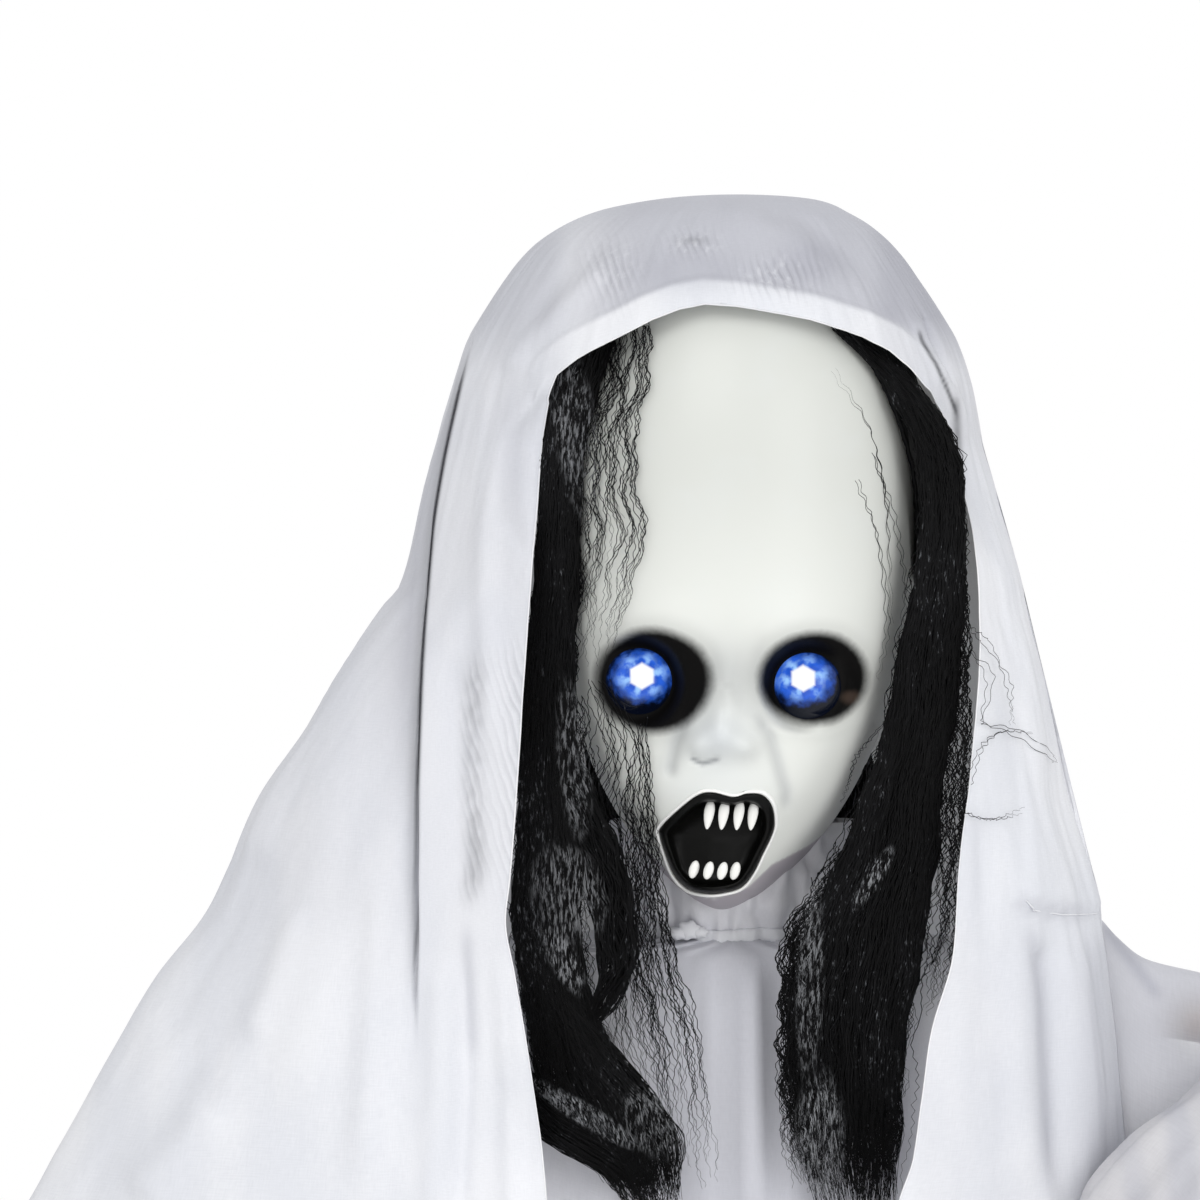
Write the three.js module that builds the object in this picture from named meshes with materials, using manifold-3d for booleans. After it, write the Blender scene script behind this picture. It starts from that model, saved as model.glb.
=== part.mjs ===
// Hanging ghost decoration: a moulded doll-like head with lit eyes and a fanged mouth, long black
// hair, a gauze veil and dress, posable arms and a sound box in the chest.
// Millimetres, +Z up, the face looks along -Y and +X is the viewer's right.
// The origin is the middle of the hanging eye on the back of the crown.
import * as THREE from "three";
import { mergeVertices } from "three/addons/utils/BufferGeometryUtils.js";
import Module from "manifold-3d";

const wasm = await Module();
wasm.setup();

// Fits
const GAP = 0.35; // between touching pieces
const CUT = 40; // how far a cutting tool runs past what it cuts

// Head shell, in the head's own frame: its origin is the middle of the widest level
const HEAD_Y = -30; // the head stands in front of the hanging eye
const HEAD_YAW = 4; // degrees, turned to the viewer's left
const HEAD_ROLL = 1.5; // degrees
const SKULL_HALF_WIDTH = 66;
const SKULL_UP = 98; // from the widest level to the crown
const CROWN_DEEP = 5; // the crown lies below the hanging eye
const HEAD_Z = -(SKULL_UP + CROWN_DEEP);
const SKULL_DOWN = 150; // from the widest level to the chin
const SKULL_FRONT = 80;
const SKULL_BACK = 76;
const SHELL_WALL = 2.6;
const SEAM_Y = 0; // the mask and the back shell meet here

// Eyes
const EYE_X = 29.3;
const EYE_Z = -68;
const EYE_Y = -53.5;
const EYE_R = 13;
const EYE_WALL = 1.5;
const CUP_DEPTH = 13;
const CUP_WALL = 1.6;
const LED_R = 2.5;
const LED_FLANGE_R = 2.9;
const LED_LENGTH = 8.6;

// Mouth
const LINER_PROUD = 1.6;
const LINER_DEPTH = 12;
const LINER_FLOOR = 3;
const LINER_REAR_Y = -40;
const LINER_HOLLOW = 0.88; // share of the mouth's outline
const TOOTH_W = 4.2;
const UPPER_TOOTH = 8.6;
const LOWER_TOOTH = 5.6;
const TOOTH_DEEP = 2.6;
const UPPER_PITCH = 4.9;
const LOWER_PITCH = 4.6;
const TOOTH_SET_BACK = 4.2;

// Hanging bracket and ring
const EYELET_R = 4; // middle of the eyelet's wire
const EYELET_WIRE = 1.5;
const BUTTONHOLE_R = 10;
const BRACKET_LONG = 26;
const BRACKET_WIDE = 12;
const BRACKET_THICK = 1.6;
const BRACKET_TILT = 29; // degrees, the slope of the crown there
const RING_R = 13;
const RING_WIRE = 1.3;
const RING_SLOPE = 24; // degrees below level, lying back on the veil

// Neck, crossbar and sound box
const BODY_Y = -10;
const NECK_R = 12;
const NECK_BORE = 9;
const NECK_TOP = -214;
const NECK_FLANGE_R = 19;
const NECK_FLANGE_THICK = 3;
const BOX_TOP = -298;
const BOX_W = 76;
const BOX_D = 34;
const BOX_H = 64;
const BOX_WALL = 2;
const BAR_R = 6;
const BAR_Z = -284;
const CELL_R = 5.25;
const CELL_LONG = 44.5;
const CELL_PITCH = 2 * CELL_R + 0.4;
const CONTACT_ROOM = 4.25; // at each end of the cells, for their springs
const TRAY_WALL = 1.5;
const BAY_W = CELL_LONG + 2 * (CONTACT_ROOM + TRAY_WALL);
const BAY_H = 2 * (CELL_PITCH + CELL_R + GAP + TRAY_WALL);
const SPEAKER_R = 17;
const SPEAKER_DEEP = 7;

// Arms: shoulder, elbow and wrist of each, the way each hand points and the way across its palm
const SHOULDER_X = 118;
const SHOULDER_Z = -284;
const ARMS = {
  left: {
    side: -1, elbow: [-188, -14, -306], wrist: [-226, -26, -364],
    handWay: [-0.35, -0.1, -0.93], palmWay: [0.1, 1, 0],
  },
  right: {
    side: 1, elbow: [203, -22, -297], wrist: [146, -82, -338],
    handWay: [-0.3, -0.35, -0.88], palmWay: [1, -0.3, 0],
  },
};
const ROD_R = 4.5;
const FORK_R = 8;
const FORK_THICK = 4;
const TONGUE_THICK = 5;
const PIN_R = 2.2;
const PAD_R = 11; // foam on the upper arms
const FOREARM_R = 9;
const PALM_LONG = 26;
const FINGER_LONG = 40;

// Hair
const HAIR_DEEP = 5;
const BACK_BOW = 0.005; // per mm, how the fall behind curves round the head

// Veil
const VEIL_THICK = 2.4;
const VEIL_HEM = -540;
const VEIL_TOP = 3;
const HANG_START = -68; // above this the veil lies on the head, below it hangs free
const VEIL_Y = -26;
const SPLIT_Z = -147; // the hood's lower edge, where the falls are sewn on
const SPLIT_X = -128;
const RIGHT_HEM_Z = -257;
const RIGHT_HEM_X = 106;

// Dress
const DRESS_THICK = 2.4;
const DRESS_HEM = -888;
const TIE_Z = -262;
const COLLAR_R = 42;
const ARMHOLE_R = 24;

const rad = THREE.MathUtils.degToRad;
const v3 = (...a) => new THREE.Vector3(...a);

// Solids and geometry

function solid(geometry) {
  const g = geometry.clone();
  for (const name of Object.keys(g.attributes))
    if (name !== "position") g.deleteAttribute(name);
  const merged = mergeVertices(g, 1e-4);
  const index = merged.index.array;
  const kept = [];
  for (let i = 0; i < index.length; i += 3) {
    const [a, b, c] = [index[i], index[i + 1], index[i + 2]];
    if (a !== b && b !== c && a !== c) kept.push(a, b, c);
  }
  const made = new wasm.Manifold(
    new wasm.Mesh({
      numProp: 3,
      vertProperties: new Float32Array(merged.attributes.position.array),
      triVerts: new Uint32Array(kept),
    }),
  );
  return made.volume() < 0 ? flipped(merged, kept) : made;
}

function flipped(merged, kept) {
  const turned = kept.slice();
  for (let i = 0; i < turned.length; i += 3)
    [turned[i + 1], turned[i + 2]] = [turned[i + 2], turned[i + 1]];
  return new wasm.Manifold(
    new wasm.Mesh({
      numProp: 3,
      vertProperties: new Float32Array(merged.attributes.position.array),
      triVerts: new Uint32Array(turned),
    }),
  );
}

function geometryOf(made) {
  const mesh = made.getMesh();
  const position = new Float32Array(mesh.numVert * 3);
  for (let i = 0; i < mesh.numVert; i++)
    position.set(
      mesh.vertProperties.subarray(i * mesh.numProp, i * mesh.numProp + 3),
      i * 3,
    );
  const g = new THREE.BufferGeometry()
    .setAttribute("position", new THREE.BufferAttribute(position, 3))
    .setIndex(new THREE.BufferAttribute(mesh.triVerts, 1));
  g.computeVertexNormals();
  return g;
}

// The largest connected piece, when a cut leaves crumbs.
function largest(made) {
  return made.decompose().sort((a, b) => b.volume() - a.volume())[0];
}

// A closed solid through rings of points, each ring with the same count, capped at both ends.
function loft(rings) {
  const n = rings[0].length;
  const position = rings.flat().flatMap((p) => [p.x, p.y, p.z]);
  const index = [];
  rings.slice(1).forEach((_, r) => {
    for (let i = 0; i < n; i++) {
      const a = r * n + i;
      const b = r * n + ((i + 1) % n);
      index.push(a, b, a + n, b, b + n, a + n);
    }
  });
  [0, rings.length - 1].forEach((r, end) => {
    const middle = rings[r]
      .reduce((sum, p) => sum.add(p), v3())
      .divideScalar(n);
    position.push(middle.x, middle.y, middle.z);
    const m = position.length / 3 - 1;
    for (let i = 0; i < n; i++) {
      const a = r * n + i;
      const b = r * n + ((i + 1) % n);
      index.push(...(end ? [m, a, b] : [m, b, a]));
    }
  });
  const g = new THREE.BufferGeometry();
  g.setAttribute("position", new THREE.Float32BufferAttribute(position, 3));
  g.setIndex(index);
  return solid(g);
}

const box = (w, d, h, x = 0, y = 0, z = 0) =>
  solid(new THREE.BoxGeometry(w, d, h).translate(x, y, z));

const ball = (r, at, across = 20, up = 14) =>
  solid(new THREE.SphereGeometry(r, across, up).translate(at.x, at.y, at.z));

// A round bar from p to q, r1 thick at p and r2 at q.
function bar(p, q, r1, r2 = r1, sides = 16) {
  const along = q.clone().sub(p);
  const g = new THREE.CylinderGeometry(r2, r1, along.length(), sides);
  g.applyQuaternion(
    new THREE.Quaternion().setFromUnitVectors(
      v3(0, 1, 0),
      along.clone().normalize(),
    ),
  );
  const middle = p.clone().add(q).multiplyScalar(0.5);
  return solid(g.translate(middle.x, middle.y, middle.z));
}

// A ring of wire: its middle, the axis of its hole, its radius and its wire's radius.
function wireRing(middle, axis, r, wire, around = 28, sides = 8) {
  const g = new THREE.TorusGeometry(r, wire, sides, around);
  g.applyQuaternion(new THREE.Quaternion().setFromUnitVectors(v3(0, 0, 1), axis));
  return solid(g.translate(middle.x, middle.y, middle.z));
}

// A flat outline in X and Z, run from y1 to y2.
function prism(points, y1, y2) {
  const g = new THREE.ExtrudeGeometry(
    new THREE.Shape(points.map(([x, z]) => new THREE.Vector2(x, z))),
    { depth: y2 - y1, bevelEnabled: false },
  );
  return solid(g.rotateX(Math.PI / 2).translate(0, y2, 0));
}

// Materials and the tree of meshes

const finish = (color, roughness, metalness = 0, more = {}) =>
  new THREE.MeshStandardMaterial({ color, roughness, metalness, ...more });
const MATERIALS = {
  mask: finish(0xe9eae4, 0.35),
  shell: finish(0xdcdcd6, 0.5),
  black: finish(0x121212, 0.25),
  tooth: finish(0xf4f4ee, 0.3),
  lens: finish(0x3f7fe0, 0.1, 0, { transparent: true, opacity: 0.7 }),
  led: finish(0xeaf4ff, 0.1),
  hair: finish(0x0c0c0d, 0.35),
  gauze: finish(0xe6e7ea, 0.9),
  ribbon: finish(0xdedee2, 0.7),
  plastic: finish(0x2b2b2e, 0.5),
  foam: finish(0xb9a79c, 0.95),
  claw: finish(0xd6d2c6, 0.5),
  steel: finish(0xb8babd, 0.3, 1),
  board: finish(0x1d5a34, 0.6),
  cell: finish(0x9a9da2, 0.35, 0.6),
  cone: finish(0x1a1a1c, 0.8),
};

const ghost = new THREE.Group();

function add(name, made, material, parent = ghost) {
  const mesh = new THREE.Mesh(geometryOf(made), MATERIALS[material]);
  mesh.name = name;
  parent.add(mesh);
  return made;
}

// Head shape

// Steps from chin to crown, across the face and round the back
const FINE = [24, 18, 9];
const COARSE = [14, 12, 8];

const domeShare = (t, power) => Math.pow(Math.max(0, 1 - Math.pow(t, power)), 1 / power);

// Half width, depth in front and depth behind at a height, grown by g.
function headSection(z, g) {
  const up = z >= 0;
  const t = Math.min(1, Math.abs(z) / ((up ? SKULL_UP : SKULL_DOWN) + g));
  const width = up ? domeShare(t, 2) : Math.pow(1 - Math.pow(t, 2.4), 1 / 1.5);
  const front = up ? domeShare(t, 2.4) : Math.pow(1 - Math.pow(t, 3.2), 1 / 2.2);
  const back = domeShare(t, up ? 2 : 2.1);
  return {
    a: (SKULL_HALF_WIDTH + g) * width,
    f: (SKULL_FRONT + g) * front,
    b: (SKULL_BACK + g) * back,
  };
}

const bump = (x, z, cx, cz, sx, sz) =>
  Math.exp(-(((x - cx) / sx) ** 2) - ((z - cz) / sz) ** 2);

// How far the face stands out of the plain egg at x and z.
function faceRelief(x, z) {
  const ax = Math.abs(x);
  return (
    -9 * bump(ax, z, EYE_X, EYE_Z, 19, 15) +
    2.5 * bump(ax, z, 26, -47, 22, 9) +
    5 * bump(x, z, 0, -80, 7, 18) +
    7 * bump(x, z, 0, -94, 9, 8) +
    3 * bump(ax, z, 9.5, -99, 5, 5) +
    4 * bump(ax, z, 33, -104, 16, 15) +
    5 * bump(x, z, 0, -112, 24, 11) +
    19 * bump(x, z, -1.5, -142, 23, 17)
  );
}

function headPoint(phi, z, g) {
  const { a, f, b } = headSection(z, g);
  const [s, c] = [Math.sin(phi), Math.cos(phi)];
  const n = c > 0 ? 2.2 : 2;
  const x = a * Math.sign(s) * Math.pow(Math.abs(s), 2 / n);
  const out = Math.pow(Math.abs(c), 2 / n);
  if (c <= 0) return v3(x, b * out, z);
  return v3(x, -f * out - faceRelief(x, z) * Math.pow(c, 0.8), z);
}

// The whole head as one closed solid, grown by g.
function headSolid(g, [rows, frontCols, backCols] = FINE) {
  const rings = [];
  for (let r = 1; r < rows; r++) {
    const t = r / rows;
    const turn = -Math.PI / 2 + Math.PI * t;
    const down = SKULL_DOWN + g;
    const up = SKULL_UP + g;
    const even = -down + (down + up) * t;
    const round = Math.sin(turn) * (Math.sin(turn) < 0 ? down : up);
    const z = 0.6 * even + 0.4 * round;
    const ring = [];
    for (let c = 0; c < frontCols; c++)
      ring.push(headPoint(-Math.PI / 2 + (Math.PI * c) / frontCols, z, g));
    for (let c = 0; c < backCols; c++)
      ring.push(headPoint(Math.PI / 2 + (Math.PI * c) / backCols, z, g));
    rings.push(ring);
  }
  return loft(rings);
}

const MOUTH = [
  [-22, -122], [-15, -115], [-8.5, -110.3], [-2, -109.6], [4.7, -111], [14, -110], [18.5, -114],
  [19.6, -120], [15, -130.5], [9.5, -139.5], [3.5, -145], [-6, -146.2], [-14, -142.5], [-20.5, -131],
];

// The mouth's outline, scaled about its middle and shrunk by an inset.
function mouthOutline(share, inset) {
  const curve = new THREE.SplineCurve(
    [...MOUTH, MOUTH[0]].map(([x, z]) => new THREE.Vector2(x, z)),
  );
  const middle = new THREE.Vector2(-1, -128);
  return curve.getPoints(26).slice(0, -1).map((p) => {
    const from = p.clone().sub(middle);
    const length = from.length();
    from.setLength(length * share - inset);
    return [middle.x + from.x, middle.y + from.y];
  });
}

const head = new THREE.Group();
head.position.set(0, HEAD_Y, HEAD_Z);
head.rotation.set(0, rad(HEAD_ROLL), -rad(HEAD_YAW), "ZYX");
ghost.add(head);
head.updateMatrixWorld(true);

// A solid of the head's frame moved to the object's frame.
function toObject(made) {
  return solid(geometryOf(made).applyMatrix4(head.matrix));
}
const toHead = (made) =>
  solid(geometryOf(made).applyMatrix4(head.matrix.clone().invert()));
const headAt = (x, y, z) => v3(x, y, z).applyMatrix4(head.matrix);

const SCREW_SEATS = [
  [-50, 22], [50, 22], [-38, -84], [38, -84],
];
const BOSS_R = 5;
const BOSS_FRONT = 14;

const headOuter = headSolid(0);
const headInner = headSolid(-SHELL_WALL, COARSE);
const headClear = headSolid(GAP + 0.1);
const headClearInObject = toObject(headClear);

function buildHeadShells() {
  const walls = headOuter.subtract(headInner);
  const bosses = SCREW_SEATS.map(([x, z]) =>
    bar(v3(x, SEAM_Y - BOSS_FRONT, z), v3(x, SKULL_BACK, z), BOSS_R),
  );
  const bored = bosses.reduce(
    (made, boss) => made.add(boss.intersect(headSolid(-SHELL_WALL / 2, COARSE))),
    walls,
  );
  const front = box(300, 200, 400, 0, SEAM_Y - 100, 0);
  const back = box(300, 200, 400, 0, SEAM_Y + GAP + 100, 0);
  let mask = bored.intersect(front);
  let rear = bored.intersect(back);
  for (const side of [-1, 1])
    mask = mask.subtract(ball(EYE_R + GAP, v3(side * EYE_X, EYE_Y, EYE_Z), 18, 12));
  mask = mask.subtract(prism(mouthOutline(1, 0), -200, -25));
  for (const [x, z] of SCREW_SEATS) {
    mask = mask.subtract(bar(v3(x, SEAM_Y - 9, z), v3(x, CUT, z), 1.5, 1.5, 10));
    rear = rear.subtract(bar(v3(x, -CUT, z), v3(x, CUT, z), 1.9, 1.9, 10));
    rear = rear.subtract(bar(v3(x, SEAM_Y + 5, z), v3(x, 120, z), 3.6, 3.6, 12));
  }
  const neck = toHead(
    bar(v3(0, BODY_Y, NECK_TOP - 8), v3(0, BODY_Y, NECK_TOP - 90), NECK_R + GAP, NECK_R + GAP, 24),
  );
  mask = mask.subtract(neck);
  rear = rear.subtract(neck);
  add("face_mask", largest(mask), "mask", head);
  add("rear_head_shell", largest(rear), "shell", head);
  SCREW_SEATS.forEach(([x, z], i) => {
    const shank = bar(v3(x, SEAM_Y - 8, z), v3(x, SEAM_Y + 5.5, z), 1.2, 1.2, 10);
    const cap = bar(v3(x, SEAM_Y + 5.3, z), v3(x, SEAM_Y + 8, z), 3.2, 2.6, 12);
    const slot = box(1, 2, 8, x, SEAM_Y + 8, z);
    add(`head_screw_${i + 1}`, shank.add(cap).subtract(slot), "steel", head);
  });
}

function buildEyes() {
  for (const side of [-1, 1]) {
    const name = side < 0 ? "left" : "right";
    const at = v3(side * EYE_X, EYE_Y, EYE_Z);
    const rim = at.y + 3;
    const behind = box(80, 80, 80, at.x, rim + 40, at.z);
    const dome = ball(EYE_R, at, 18, 12).subtract(ball(EYE_R - EYE_WALL, at, 14, 10));
    add(`eye_dome_${name}`, largest(dome.subtract(behind)), "lens", head);
    const cupFront = rim + GAP;
    const cupBack = cupFront + CUP_DEPTH;
    const cupR = EYE_R - 1;
    const cup = bar(v3(at.x, cupFront, at.z), v3(at.x, cupBack, at.z), cupR, cupR, 20)
      .subtract(
        bar(v3(at.x, cupFront - 1, at.z), v3(at.x, cupBack - CUP_WALL, at.z),
          cupR - CUP_WALL, LED_FLANGE_R + 3, 20),
      )
      .subtract(bar(v3(at.x, cupFront, at.z), v3(at.x, cupBack + 1, at.z),
        LED_FLANGE_R + GAP, LED_FLANGE_R + GAP, 14));
    add(`eye_cup_${name}`, cup, "black", head);
    const ledBack = cupBack;
    const profile = [
      [0, 0], [LED_FLANGE_R, 0], [LED_FLANGE_R, 1], [LED_R, 1], [LED_R, LED_LENGTH - LED_R],
      [LED_R * 0.8, LED_LENGTH - LED_R * 0.4], [0, LED_LENGTH],
    ].map(([r, l]) => new THREE.Vector2(r, l));
    const bulb = solid(
      new THREE.LatheGeometry(profile, 14).rotateX(Math.PI).translate(at.x, ledBack, at.z),
    );
    const legs = [-1.27, 1.27].map((dx) =>
      box(0.6, 9, 0.6, at.x + dx, ledBack + 4, at.z),
    );
    add(`led_${name}`, bulb.add(legs[0]).add(legs[1]), "led", head);
  }
}

// The face's own surface in front at x and z.
function faceY(x, z) {
  const { a } = headSection(z, 0);
  const s = Math.min(1, Math.pow(Math.abs(x) / a, 1.1));
  return headPoint(Math.sign(x) * Math.asin(s), z, 0).y;
}

function buildMouth() {
  const tall = (share, inset) => prism(mouthOutline(share, inset), -200, -20);
  const proud = headSolid(LINER_PROUD);
  const behind = box(200, 200, 400, 0, LINER_REAR_Y + 100, 0);
  const floor = headSolid(-LINER_DEPTH + LINER_FLOOR).add(behind.translate([0, -LINER_FLOOR, 0]));
  const rear = headSolid(-LINER_DEPTH).add(behind);
  const hollow = tall(LINER_HOLLOW, 0).subtract(floor);
  const liner = largest(tall(1, GAP).intersect(proud).subtract(rear).subtract(hollow));
  add("mouth_liner", liner, "black", head);
  toothRow("upper_teeth", { z: -113.9, centre: 4.55, pitch: UPPER_PITCH, long: -UPPER_TOOTH });
  toothRow("lower_teeth", { z: -138.4, centre: -0.9, pitch: LOWER_PITCH, long: LOWER_TOOTH });
}

// Four pointed teeth on a strip, each with a peg back to the liner's floor.
function toothRow(name, row) {
  const peg = LINER_DEPTH - LINER_FLOOR - TOOTH_SET_BACK - GAP;
  let made = null;
  let before = null;
  for (let i = 0; i < 4; i++) {
    const x = row.centre + row.pitch * (i - 1.5);
    const root = v3(x, faceY(x, row.z) + TOOTH_SET_BACK, row.z);
    const tip = root.clone().add(v3(-0.7, -0.5, row.long));
    const tooth = pointedTooth(root, tip).add(bar(root, root.clone().add(v3(0, peg, 0)), 0.9, 0.9, 8));
    made = made ? made.add(tooth).add(bar(before, root, 0.9, 0.9, 8)) : tooth;
    before = root;
  }
  add(name, made, "tooth", head);
}

function pointedTooth(root, tip) {
  const shares = [0.75, 1, 0.95, 0.6, 0.2];
  const rings = [0, 0.25, 0.6, 0.88, 1].map((t, k) => {
    const at = root.clone().lerp(tip, t);
    const [w, d] = [(shares[k] * TOOTH_W) / 2, (shares[k] * TOOTH_DEEP) / 2];
    return Array.from({ length: 8 }, (_, n) =>
      at.clone().add(v3(w * Math.cos((n * Math.PI) / 4), d * Math.sin((n * Math.PI) / 4), 0)),
    );
  });
  return loft(tip.z < root.z ? rings.reverse() : rings);
}

// Hanging bracket and ring

function buildHanger() {
  const back = v3(0, Math.cos(rad(BRACKET_TILT)), -Math.sin(rad(BRACKET_TILT)));
  const top = headAt(0, -HEAD_Y, SKULL_UP * domeShare(-HEAD_Y / SKULL_BACK, 2));
  const tilt = new THREE.Matrix4()
    .makeTranslation(0, top.y, top.z)
    .multiply(new THREE.Matrix4().makeRotationX(-rad(BRACKET_TILT)));
  const plate = solid(
    new THREE.BoxGeometry(BRACKET_WIDE, BRACKET_LONG, 8)
      .translate(0, 0, BRACKET_THICK + 0.6 - 4)
      .applyMatrix4(tilt),
    ).subtract(headClearInObject);
  const eyelet = wireRing(v3(), v3(1, 0, 0), EYELET_R, EYELET_WIRE, 18, 8);
  const post = bar(v3(0, 0, -EYELET_R), v3(0, 0, top.z + BRACKET_THICK), 2.4, 3.2);
  let bracket = largest(plate).add(eyelet).add(post);
  [-1, 1].forEach((way, i) => {
    const seat = v3(0, top.y, top.z).addScaledVector(back, way * BRACKET_LONG * 0.34);
    const normal = v3(0, Math.sin(rad(BRACKET_TILT)), Math.cos(rad(BRACKET_TILT)));
    const deep = seat.clone().addScaledVector(normal, -9);
    const high = seat.clone().addScaledVector(normal, BRACKET_THICK + 0.6);
    bracket = bracket.subtract(bar(deep, high.clone().addScaledVector(normal, 5), 1.8, 1.8, 10));
    const cap = bar(
      high.clone().addScaledVector(normal, GAP),
      high.clone().addScaledVector(normal, 1.6), 3, 2.4, 12,
    );
    const shank = bar(seat.clone().addScaledVector(normal, -1), high.clone().addScaledVector(normal, 1), 1.3, 1.3, 10);
    add(`hang_screw_${i + 1}`, cap.add(shank.subtract(headClearInObject)), "steel");
  });
  add("hang_bracket", bracket, "steel");
  const away = v3(0, Math.cos(rad(RING_SLOPE)), -Math.sin(rad(RING_SLOPE)));
  const middle = away.clone().multiplyScalar(RING_R);
  const facing = v3(0, Math.sin(rad(RING_SLOPE)), Math.cos(rad(RING_SLOPE)));
  add("hang_ring", wireRing(middle, facing, RING_R, RING_WIRE, 28, 8), "steel");
}

// Hair: a cap on the skull, a lock on each side of the face and a fall behind

const LEFT_LOCK = [
  // height, middle x, middle y, half width, half depth, lean across the width
  [-50, -48, -84, 13, 5, -0.8], [-77, -51, -88, 16, 6, -0.85], [-117, -52, -88, 19, 6, -0.85],
  [-142, -57, -84, 15, 6, -0.8], [-170, -64, -74, 12, 6, -0.6], [-190, -63, -74, 13, 7, -0.5],
  [-214, -56, -78, 21, 8, -0.2], [-243, -56, -80, 24, 9, 0], [-280, -54, -80, 23, 9, 0],
  [-318, -44, -84, 26, 8, 0], [-340, -42, -86, 19, 7, 0], [-352, -35, -87, 10, 5, 0],
];
const RIGHT_LOCK = [
  [-60, 57, -74, 8, 4, 0.8], [-85, 64, -70, 8, 5, 0.8], [-125, 71, -66, 8, 6, 0.5],
  [-160, 72, -66, 10, 8, 0.3], [-190, 66, -70, 13, 8, 0.3], [-215, 60, -74, 17, 8, 0.1],
  [-250, 52, -79, 22, 9, 0], [-285, 46, -81, 21, 9, 0], [-318, 42, -84, 19, 8, 0],
  [-345, 45, -86, 11, 5, 0],
];
const BACK_FALL = [
  [-104, 0, 50, 44, 4, 0], [-140, 0, 52, 56, 4, 0], [-190, 0, 50, 60, 5, 0], [-250, 0, 50, 58, 6, 0],
  [-290, 0, 56, 54, 5, 0], [-330, 0, 63, 46, 4, 0],
];

function lock(rows, sides, bow = 0) {
  return loft(
    rows.map(([z, x, y, w, d, lean]) =>
      Array.from({ length: sides }, (_, k) => {
        const turn = (2 * Math.PI * k) / sides;
        const across = w * Math.cos(turn);
        return v3(x + across, y + d * Math.sin(turn) + lean * across - bow * across ** 2, z);
      }),
    ).reverse(),
  );
}

// Everything before the hairline, which slopes from the crown to behind the ears.
const frontOfCap = (shift) =>
  solid(
    new THREE.BoxGeometry(300, 200, 400)
      .translate(0, -100 + shift, 0)
      .rotateX(rad(24))
      .translate(0, -34, 0),
  );

function buildHair() {
  const cap = headSolid(HAIR_DEEP, COARSE)
    .subtract(headClear)
    .subtract(frontOfCap(0))
    .subtract(box(300, 300, 200, 0, 0, -130));
  const hangHole = box(BRACKET_WIDE + 12, BRACKET_LONG + 14, 60, HEAD_Y * Math.sin(rad(HEAD_YAW)), -HEAD_Y, SKULL_UP);
  const capMade = largest(cap.subtract(hangHole));
  const capKeepOut = toObject(
    headSolid(HAIR_DEEP + GAP + 0.2, COARSE).subtract(frontOfCap(-GAP)),
  );
  add("hair_cap", capMade, "hair", head);
  const capClear = toObject(headSolid(HAIR_DEEP + GAP + 0.2, COARSE));
  const locks = {
    hair_lock_left: lock(LEFT_LOCK, 12),
    hair_lock_right: lock(RIGHT_LOCK, 12),
    hair_back: lock(BACK_FALL, 16, BACK_BOW),
  };
  for (const [name, made] of Object.entries(locks)) {
    const cutter = name === "hair_back" ? capClear : headClearInObject;
    add(name, largest(made.subtract(cutter).subtract(capKeepOut)), "hair");
  }
}

// Veil

// Left, right, front and back reach of the veil at a height, joined by smooth curves.
const VEIL_LEVELS = [
  // height, left, right, front, back
  [3, 12, 18, 14, 6], [1, 34, 33, 32, 16], [-3, 52, 41, 46, 28], [-8, 63, 49, 56, 38],
  [-16, 74, 58, 65, 50], [-27, 83, 66, 73, 60], [-41, 92, 75, 79, 68], [-50, 97, 80, 82, 72],
  [-68, 103, 86, 86, 78], [-100, 112, 93, 88, 84], [-144, 127, 103, 88, 90], [-187, 157, 114, 85, 95],
  [-254, 195, 131, 84, 98], [-352, 254, 142, 84, 104], [-400, 282, 144, 86, 106],
  [-445, 300, 146, 88, 107], [-560, 304, 150, 92, 114],
];

function level(rows, z) {
  const i = Math.max(1, rows.findIndex((r) => r[0] <= z));
  if (z < rows[rows.length - 1][0]) return rows[rows.length - 1];
  if (z >= rows[0][0]) return rows[0];
  const [hi, lo] = [rows[i - 1], rows[i]];
  const t = (hi[0] - z) / (hi[0] - lo[0]);
  return hi.map((h, k) => h + (lo[k] - h) * t);
}

function veilPoint(psi, z, inward) {
  const [, left, right, front, back] = level(VEIL_LEVELS, z);
  const [s, c] = [Math.sin(psi), Math.cos(psi)];
  const hang = Math.min(1, Math.max(0, (HANG_START - z) / 200));
  const fold = 4 * hang * Math.cos(8 * psi) * (c < 0.2 ? 1 : 0.35);
  const reach = (s < 0 ? left : right) + fold - inward;
  const deep = (c > 0 ? front : back) + fold - inward;
  return v3(Math.max(1, reach) * s, VEIL_Y - Math.max(1, deep) * c, z);
}

const VEIL_ROWS = [3, 1, -3, -8, -16, -30, -48, -70, -105, -144, -165, -200, -240, -290, -350, -400, -460, -535];

const VEIL_COLS = 32;

function veilSolid(inward, drop) {
  const rings = VEIL_ROWS.map((z) =>
    Array.from({ length: VEIL_COLS }, (_, k) => {
      const psi = (2 * Math.PI * k) / VEIL_COLS;
      const hem = z === VEIL_ROWS[VEIL_ROWS.length - 1];
      const wave = hem ? VEIL_HEM - z + 14 * Math.cos(5 * psi) - drop : 0;
      return veilPoint(psi, z - (hem ? 0 : inward), inward).add(v3(0, 0, wave));
    }),
  );
  return loft(rings.reverse());
}

// The face opening, seen from in front: the veil's front edge from hem to hem.
const FACE_OPENING = [
  [-68, -600], [-67, -362], [-69, -334], [-76, -290], [-81, -252], [-79, -215], [-76, -170],
  [-72, -128], [-68, -90], [-64, -68], [-48, -55], [-30, -46], [-13, -41], [10, -43], [40, -51],
  [57, -60], [68, -72], [77, -88], [83, -112], [84, -150], [82, -190], [77, -235], [71, -280],
  [64, -330], [60, -362], [58, -600],
];

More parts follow.
